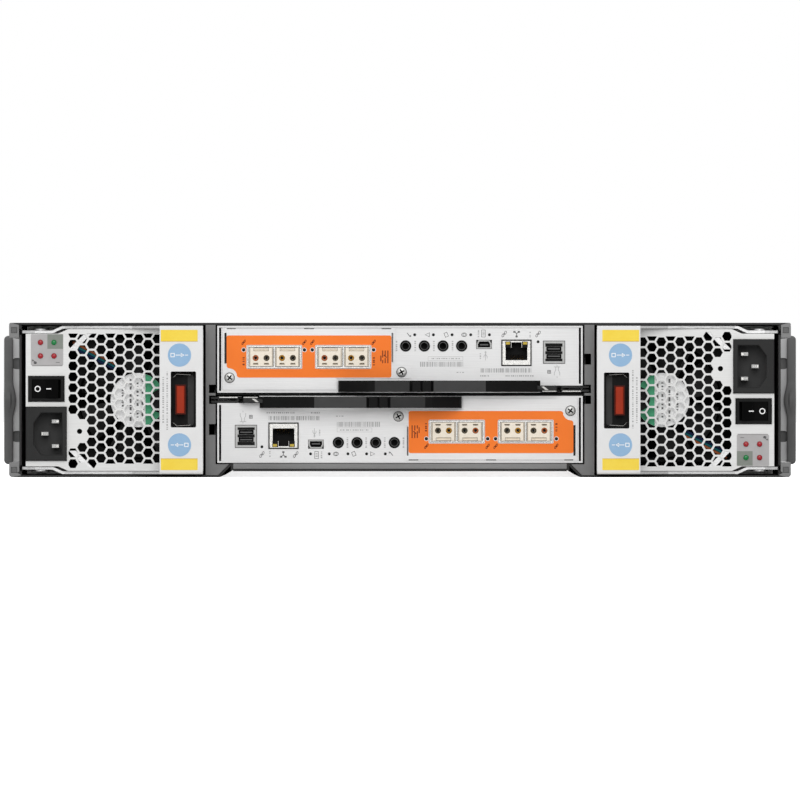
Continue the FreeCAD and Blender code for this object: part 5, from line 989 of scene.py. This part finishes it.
# %% [markdown]
# ## The orange film
# The host card's face is covered by a sheet of orange polycarbonate, which tells the kind of port at a glance.
# It is cut out round the two cages, and its upper outer corner gives way to a screw in an S-shaped curve. The
# sheet is made of its outline and two holes at once: a triangulation of the closed rings fills what lies between.

# %% Outline of the film
FILM_X0, FILM_X1, FILM_Z0, FILM_Z1 = port(108.9, 202.7, 5.5, 29.5)
film_outline = np.vstack([
    arc(FILM_X0 + 1.2, FILM_Z1 - 1.2, 1.2, 90, 180),
    arc(FILM_X0 + 1.2, FILM_Z0 + 1.2, 1.2, 180, 270),
    arc(FILM_X1 - 1.0, FILM_Z0 + 1.0, 1.0, 270, 360),
    arc(FILM_X1 - 1.6, FILM_Z1 - 6.9, 1.6, 0, 80),
    arc(FILM_X1 - 1.3, FILM_Z1 - 0.6, 4.7, 262, 195),
    arc(FILM_X1 - 7.5, FILM_Z1 - 1.9, 1.9, 20, 90),
])


def perforated(outline, holes, y, thick=FILM):
    """A flat sheet with holes on a face at y: triangles fill what lies between the rings, and walls close them."""
    flat, walls, start = np.vstack([outline] + holes), [], 0
    for ring_points in [outline] + holes:
        here = np.arange(len(ring_points)) + start
        walls.append(np.column_stack([here, np.roll(here, -1)]))
        start += len(ring_points)
    walls = np.vstack(walls)
    shell = bmesh.new()
    verts = [shell.verts.new((x, 0.0, z)) for x, z in flat.tolist()]
    edges = [shell.edges.new((verts[a], verts[b])) for a, b in walls.tolist()]
    bmesh.ops.triangle_fill(shell, edges=edges, use_beauty=True)
    shell.verts.index_update()
    filled = np.array([[v.index for v in face.verts] for face in shell.faces])
    shell.free()
    sides = np.column_stack([walls, walls[:, ::-1] + start])
    faces = filled.tolist() + (filled + start).tolist() + sides.tolist()
    return np.vstack([level(flat, y - thick), level(flat, y)]), faces


cage_holes = [rounded(x0 - 0.3, x1 + 0.3, z0 - 0.3, z1 + 0.3, 0.6) for x0, x1, z0, z1 in CAGES]
sheet = perforated(film_outline, cage_holes, plate_y)
twins(CONTROLLERS, "host_plate_orange", ("orange_film", [sheet], orange_film))
print("orange film", len(sheet[1]), "faces at y", round(plate_y, 2))

# %% [markdown]
# ## Print and lamps on the orange film
# White lines frame the two cages, and white rings the four lamp holes. The signs are in a rust red that is the
# film's own colour made darker. The card's plate is a separate sheet: the slot at each side of the film and three
# small notches in its lower edge are black films of painted shadow, and a fine line runs round the rest.

# %% Print on the film, slots and seams
HOLE_Z = CAN_Z0 + 13.7
HOLE_X = [x for x0, x1, _, _ in CAGES for x in (x0 - 1.8, x1 + 2.1)]
film_y = plate_y - FILM
white = [stroke(rounded(x0 - 0.4, x1 + 0.4, z0 - 0.4, z1 + 0.4, 0.7), 0.3, film_y, True) for x0, x1, z0, z1 in CAGES]
white += [stroke(circle(x, HOLE_Z, 1.15, 20), 0.28, film_y, True) for x in HOLE_X]
rust = [shape for x in HOLE_X for shape in sign(LINK, x, HOLE_Z - 4.3, film_y, (0.95, 1.5), 0.36, -0.35)]
rust += bars(FILM_X0, HOLE_Z, film_y, [(9.4, 10.5, 4.2, 8.8, 4, 21), (83.6, 84.7, 4.2, 8.8, 4, 22)], upright=False)
rust += sign(SLOT_MARK, FILM_X0 + 3.9, HOLE_Z + 4.0, film_y, (1.9, 3.6), 0.6)
host_lamps = [dome(x, film_y, HOLE_Z, 1.0, 0.1, 0.05, 20) for x in HOLE_X]
twins(CONTROLLERS, "host_plate_orange", ("white_frames", white, white_ink),
      ("host_lamps", host_lamps, clear_lens, True), ("rust_signs", rust, rust_ink))
# Black films for the side slots and the lower notches: painted shadow.
slot_shadows = [film(rounded(x0, x1, CAN_Z0 + 4.0, CAN_Z0 + high, 0.2), plate_y, INK)
         for x0, x1, high in ((FILM_X1, FILM_X1 + 1.1, 21.4), (FILM_X0 - 0.75, FILM_X0 - 0.15, 20.6))]
slot_shadows += [film(rounded(x, x + wide, CAN_Z0 + 1.4, CAN_Z0 + 1.9, 0.15), plate_y, INK)
          for x, wide in ((FILM_X0, 5.6), (FILM_X0 + 44.0, 5.8), (FILM_X1 - 5.2, 5.0))]
seam = stroke([(FILM_X0, CAN_Z0 + 1.65), (FILM_X1, CAN_Z0 + 1.65)], 0.16, plate_y)
twins(CONTROLLERS, "controller_steel", ("plate_slots", slot_shadows, black_ink_and_painted_shadow), ("plate_seams", [seam], grey_ink_and_painted_shadow))
print("lamp holes at x", np.round(HOLE_X, 1), "and", len(slot_shadows), "slot_shadows")

# %% [markdown]
# ## Sleeves of the optical ports
# Each transceiver holds two ports. In the square mouth sits a round sleeve, dark, brownish or golden, round a
# ceramic ferrule. A sleeve is a lathe profile with a wall, so its bore is a real hole, and the ferrule deep in it is
# a black plug of painted shadow. Fine moulded lines on the nose mark the bail and the two latches; they are drawn
# as thin ribbons.

# %% Optical sleeves
NOSE_IN, SLEEVE_OFF, SLEEVE_UP = 0.18, 3.1, 0.6
NOSES = [((x0 + x1) / 2 + side * ((x1 - x0) / 4 - NOSE_IN), (z0 + z1) / 2)
         for x0, x1, z0, z1 in CAGES for side in (-1, 1)]
SLEEVES = [(x + side * SLEEVE_OFF, z + SLEEVE_UP) for x, z in NOSES for side in (-1, 1)]
NOSE_LINES = [([frame_path(0, -4.3, 4.2, 0.85)], 0, 0, 1, 0.2),
              ([[(-4.6, 4.1), (-1.6, 4.1)], [(1.6, 4.1), (4.6, 4.1)]], 0, 0, 1, 0.42),
              ([[(-6.4, -5.0), (-6.4, 5.0)], [(6.4, -5.0), (6.4, 5.0)]], 0, 0, 1, 0.3)]
SLEEVE = [(0.95, 1.6), (0.95, -2.2), (1.35, -2.4), (1.8, -2.2), (1.8, 1.0), (2.2, 1.0), (2.2, 1.6), (0.95, 1.6)]
FERRULE = [(0.0, 0.0), (0.35, 0.0), (0.62, 0.25), (0.62, 1.0), (0.0, 1.0)]
nose_y = face_at("controller_lower_transceivers", (CAGES[0][0] + CAGES[0][1]) / 2 - 4, CAGES[0][2] + 1.6)
bezels = [perforated(quad(x, x, z, z, 2.3), [circle(x, z, 1.75, 24)], nose_y, INK) for x, z in SLEEVES]
trims = [shape for x, z in NOSES for shape in signs(x, z, nose_y, NOSE_LINES)]
# Black plugs deep in the sleeves: painted shadow in the bores.
ferrule_shadows = [lathe(FERRULE, x, nose_y + 1.4, z, 16) for x, z in SLEEVES]
sleeves = [lathe(SLEEVE, x, nose_y + 2.4, z, 24) for x, z in SLEEVES]
twins(CONTROLLERS, "transceiver_cream", ("sleeves_dark", sleeves[0::2], sleeve_dark, True),
      ("sleeves_gold", sleeves[1::4], sleeve_gold, True), ("sleeves_red", sleeves[3::4], sleeve_red, True),
      ("port_bezels", bezels, cream_plastic), ("nose_trims", trims, taupe_ink), ("ferrule_painted_shadows", ferrule_shadows, black_ink_and_painted_shadow, True))
print("sleeves", len(SLEEVES), "nose at y", round(nose_y, 2))

# %% [markdown]
# ## Screws
# Two cross-recess screws hold the host card's plate. The head is a disc of rings: the height of a point is the
# dome of the head, less a cross whose arms are bands where |u| or |v| is small, worn smooth towards the rim.

# %% Screw heads
HEAD_R, HEAD_HIGH, SCREW_DEEP, ARM_HALF, ARM_REACH = 2.55, 0.35, 0.3, 0.42, 0.72
TURNS = (0.5, 0.9)


def screw_head(x, y, z, turn, rings=22, around=96):
    """A screw head as a height field on rings: the dome is high (1 - (s / r)^4), and the cross recess takes its
    depth times a smooth step of the nearer band |u| or |v|, out to a share of the radius."""
    radius = np.linspace(0, HEAD_R, rings)[:, None]
    angle = np.arange(around)[None, :] * 2 * math.pi / around
    band = np.minimum(abs(radius * np.cos(angle - turn)), abs(radius * np.sin(angle - turn)))
    cross = np.clip((ARM_HALF - band) / 0.12, 0, 1) * np.clip((HEAD_R * ARM_REACH - radius) / 0.25, 0, 1)
    depth = -HEAD_HIGH * (1 - (radius / HEAD_R) ** 4) + SCREW_DEEP * cross
    rows = np.stack([x + radius * np.cos(angle), y + depth, z + radius * np.sin(angle)], axis=2)
    return skin(np.concatenate([rows, np.tile((x, y + 0.6, z), (1, around, 1))]), ends=False)


head_y = face_at("controller_lower_host_plate", *SCREWS[1])
heads = [screw_head(x, head_y - 0.02, z, turn) for (x, z), turn in zip(SCREWS, TURNS)]
# A dark ring round each head and a black cross in its recess: painted shadow.
seat_shadows = [stroke(circle(x, z, 2.8, 32), 0.45, plate_y, True) for x, z in SCREWS]
recess_shadows = [shape for (x, z), turn in zip(SCREWS, TURNS)
          for shape in sign(DASH + [[(0, -1), (0, 1)]], x, z, head_y - 0.07, 1.75, 0.75, turn)]
twins(CONTROLLERS, "controller_steel", ("screws", heads, screw_steel, True), ("screw_seats", seat_shadows, grey_ink_and_painted_shadow),
      ("screw_recesses", recess_shadows, painted_shade_black))
print("screw head", len(heads[0][1]), "faces")

# %% [markdown]
# ## Fronts of the carriers
# Each carrier has a red pad that releases its lever, and two lamps beside it. They look the other way, so they
# are drawn for the rear and reflected in the plane of the carrier's front.

# %% Pads and lamps
def fronted(shapes, y):
    """Reflects shapes in the plane at y: the y of a point becomes twice the plane's less its own."""
    return [(points * (1, -1, 1) + (0, 2 * y, 0), faces) for points, faces in shapes]


for name in carriers:
    lo, hi = corners(name)
    x, front, middle = hi[0], hi[1], (lo[2] + hi[2]) / 2
    pad = block(x - 11.5, x - 5.5, front - 0.6, front + 1.2, middle - 7.0, middle + 7.0, 0.7)
    lamps = [dome(x - 32.4, front + 0.1, middle + side * 7.4, 1.2, 0.5, 0.1, 20) for side in (-1, 1)]
    piece(name + "_pad", fronted([pad], front), tab_plastic, name + "_body")
    piece(name + "_lamps", fronted(lamps, front), green_lens, name + "_body", smooth=True)
print("carrier front at y", round(front, 2))

# %% [markdown]
# ## Caps of the rack ears
# Each ear has a moulded cap: a block in front with a soft front edge, and behind the ear a slim lip with round
# ends and a thumb pad that swells out of it. A box with bevels would give the block but not the pad, so the lip
# is a grid: stations along its height carry one cross-section whose width and depth swell where the pad is.

# %% Ear caps
cap_lo, cap_hi = corners("ear_cap_right")
CAP_R, CAP_FRONT_R, LIP_WIDE, LIP_R = 4.2, 4.0, 5.5, 2.6
LIP_DEEP, PAD_HALF, PAD_SWELL, PAD_OUT, SCOOP = 3.0, 12.0, 1.8, 3.4, 1.1
LIP_FRONT = EAR_Y - 2.1


def cap_block(x0, x1, y0, y1, z0, z1):
    """The front block: one outline at y0 and on, drawn in towards y1 along a quarter circle, inset r (1 - cos)."""
    turn = np.linspace(0, math.pi / 2, 6)
    insets = np.concatenate([[0.0], CAP_FRONT_R * (1 - np.cos(turn))])
    levels = np.concatenate([[y0], y1 - CAP_FRONT_R + CAP_FRONT_R * np.sin(turn)])
    rows = []
    for inset, y in zip(insets, levels):
        outer = max(CAP_R - inset, 0.3)
        outline = rounded(x0 + inset, x1 - inset, z0 + inset, z1 - inset, (outer, 0.3, 0.3, outer), 8)
        rows.append(level(outline, y))
    return skin(np.array(rows))


def cap_lip(x1, z0, z1, stations=97):
    """The lip behind the ear. At height z its ends draw in by r less the root of r squared less (r - d) squared,
    d being the way to the nearer end. The pad is a squared cosine that widens and deepens the section, and a
    scoop, a narrower squared cosine, takes a hollow out of its inner side."""
    way = (1 - np.cos(np.linspace(0, math.pi, stations))) / 2
    z = z0 + (z1 - z0) * way
    d = np.minimum(z - z0, z1 - z)
    drawn = LIP_R - np.sqrt(LIP_R ** 2 - np.maximum(LIP_R - d, 0) ** 2)
    off = (z - (z0 + z1) / 2) / PAD_HALF
    pad = np.where(abs(off) < 1, np.cos(off * math.pi / 2) ** 2, 0)
    scoop = np.where(abs(off) < 0.8, np.cos(off / 0.8 * math.pi / 2) ** 2, 0) * SCOOP
    outer, inner = x1 - drawn, x1 - LIP_WIDE + drawn - PAD_SWELL * pad
    back = LIP_FRONT - LIP_DEEP + 0.6 * drawn - PAD_OUT * pad
    across = np.array([0.0, 0.0, 0.06, 0.16, 0.34, 0.46, 0.84, 0.94, 1.0, 1.0])
    raised = np.array([0.0, 1.0, 0.4, 0.1, 0.1, 0.0, 0.0, 0.3, 1.0, 0.0])
    hollow = np.array([0.0, 1.0, 1.0, 1.0, 0.9, 0.0, 0.0, 0.0, 0.0, 0.0])
    x = inner[:, None] + (outer - inner)[:, None] * across
    y = back[:, None] + raised + hollow * scoop[:, None]
    y[:, [0, -1]] = LIP_FRONT
    return skin(np.stack([x, y, np.broadcast_to(z[:, None], x.shape)], axis=2))


cap = [cap_block(cap_lo[0], cap_hi[0], EAR_Y + 0.05, cap_hi[1], cap_lo[2], cap_hi[2]),
       cap_lip(cap_hi[0], cap_lo[2], cap_hi[2]),
       block(cap_hi[0] - 2.8, cap_hi[0] - 0.05, LIP_FRONT - 0.5, EAR_Y + 0.5, cap_lo[2] + LIP_R, cap_hi[2] - LIP_R)]
for side, name in ((1, "ear_cap_right"), (-1, "ear_cap_left")):
    made = piece(name + "_moulding", [(points * (side, 1, 1), faces) for points, faces in cap],
                 ear_plastic, "chassis", smooth=True)
    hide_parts(name)
print("ear cap from", cap_lo.round(1), "to", cap_hi.round(1))

# %% [markdown]
# ## Rear edge of the case
# Each corner rail is closed by a small moulded plug, and the floor's rear edge is a rolled lip, drawn as one
# pale line over a near-black band of painted shade. Under the raised floor runs a tunnel, which a strip of white
# foam closes. All are put on at the end of the line, so they are pieces of their own.

# %% Plugs, lip and seal
case_x, case_z1 = corners("top_cover")[1][0], corners("top_cover")[1][2]
PLUG_IN_X, PLUG_IN_Z, PLUG_HALF, LIP_SHADE_HIGH = 2.9, 4.2, 1.65, 1.35
plug_x = case_x - PLUG_IN_X
plugs = [block(x - PLUG_HALF, x + PLUG_HALF, REAR + 0.05, REAR + 4.0, z - PLUG_HALF, z + PLUG_HALF, 0.3)
         for x in (-plug_x, plug_x) for z in (PLUG_IN_Z, case_z1 - PLUG_IN_Z)]
lip_half, lip_z0, lip_z1, foot_x = CAN_X1 - 9.0, CAN_Z0 - 4.83, CAN_Z0 - 0.3, CAN_X1 - 2.4
lip = block(-lip_half, lip_half, REAR - 0.04, REAR + 0.4, lip_z0 + LIP_SHADE_HIGH, lip_z1, 0.15)
# A near-black band under the floor lip: painted shade.
lip_shade_band = block(-lip_half, lip_half, REAR - 0.02, REAR + 0.4, lip_z0, lip_z0 + LIP_SHADE_HIGH, 0.1)
seal = film([(-foot_x, 0.05), (foot_x, 0.05), (lip_half - 0.5, lip_z0 + 1.0), (0.5 - lip_half, lip_z0 + 1.0)],
            REAR + 4.03, 4.0)
for name, shapes, material in (("rail_plugs", plugs, ear_plastic), ("floor_lip", [lip], lip_zinc_painted_shade),
                               ("floor_lip_edge", [lip_shade_band], edge_painted_shade), ("tunnel_seal", [seal], foam_white)):
    piece(name, shapes, material, "chassis")
print("lip from z", round(lip_z0, 2), "to", round(lip_z1, 2))

# %% [markdown]
# ## Camera, floor and light
# The shelf is seen square on from far away through a long lens, so its sides hardly show. The camera stands 8.36 m
# behind the rear edge on the shelf's own axis. The ground is white for the camera and for reflections, and a
# plainer grey for diffuse light, so that metal shows a bright studio while the surfaces keep their written colours.

# %% Camera
CAMERA_BACK = 8355.0
CAMERA_LENS = 660.6
eye = bpy.data.cameras.new("camera")
eye.sensor_width = 36.0
eye.lens = CAMERA_LENS
eye.clip_end = 100.0
camera = placed("camera", eye)
camera.location = (0.0, (REAR - CAMERA_BACK) * MM, PSU_MID_Z * MM)
camera.rotation_euler = (math.pi / 2, 0.0, 0.0)
bpy.context.scene.camera = camera
print("camera", [round(c, 3) for c in camera.location])

# %% World and floor
AMBIENT, SELF_LIGHT, FLOOR = 0.66, 0.75, 20.0
world = bpy.data.worlds.new("studio")
world.use_nodes = True
tree = world.node_tree
tree.nodes.clear()
rays = add(tree, "LightPath").outputs
seen = add(tree, "Math", operation="MAXIMUM", Value=rays["Is Camera Ray"], Value_001=rays["Is Glossy Ray"])
seen = add(tree, "Math", operation="MAXIMUM", Value=seen.outputs["Value"], Value_001=rays["Is Transmission Ray"])
strength = add(tree, "MapRange", Value=seen.outputs["Value"], To_Min=AMBIENT, To_Max=1.0)
glow = add(tree, "Background", Color=(1.0, 1.0, 1.0, 1.0), Strength=strength.outputs["Result"])
add(tree, "OutputWorld", Surface=glow.outputs["Background"])
bpy.context.scene.world = world

floor_material, tree = new_material("matt_white_studio_floor")
rays = add(tree, "LightPath").outputs
lift = add(tree, "Math", operation="MULTIPLY", Value=rays["Is Camera Ray"], Value_001=SELF_LIGHT)
paper = add(tree, "BsdfDiffuse", Color=linear("#e8e8e8"))
lifted = add(tree, "Emission", Strength=lift.outputs["Value"])
total = add(tree, "AddShader", Shader=paper.outputs["BSDF"], Shader_001=lifted.outputs["Emission"])
add(tree, "OutputMaterial", Surface=total.outputs["Shader"])
floor_mesh = bpy.data.meshes.new("floor")
floor_mesh.from_pydata(level(quad(0, 0, 0, 0, FLOOR), 0)[:, [0, 2, 1]].tolist(), [], [[0, 1, 2, 3]])
floor_mesh.materials.append(floor_material)
floor = placed("floor", floor_mesh)
print("floor", FLOOR * 2, "m square")

# %% Lamps
def softbox(name, place, aim, size, power):
    """A square area lamp at a place in metres, turned so that its -Z axis looks at the aim."""
    data = bpy.data.lights.new(name, "AREA")
    data.size, data.energy = size, power
    lamp = placed(name, data)
    away = np.array(aim) - np.array(place)
    lamp.location = place
    lamp.rotation_euler = (math.atan2(math.hypot(away[0], away[1]), -away[2]), 0.0, math.atan2(-away[0], away[1]))


softbox("softbox_behind_camera", (0.0, -9.6, 3.4), (0.0, REAR * MM, PSU_MID_Z * MM), 5.0, 345.0)
softbox("softbox_above", (-0.9, 0.4, 2.4), (0.0, 0.0, 0.04), 1.6, 14.0)
softbox("softbox_front", (0.8, 3.4, 1.6), (0.0, 0.3, 0.04), 1.8, 20.0)

# %% Leave the view plain
bpy.context.scene.view_settings.view_transform = "Standard"
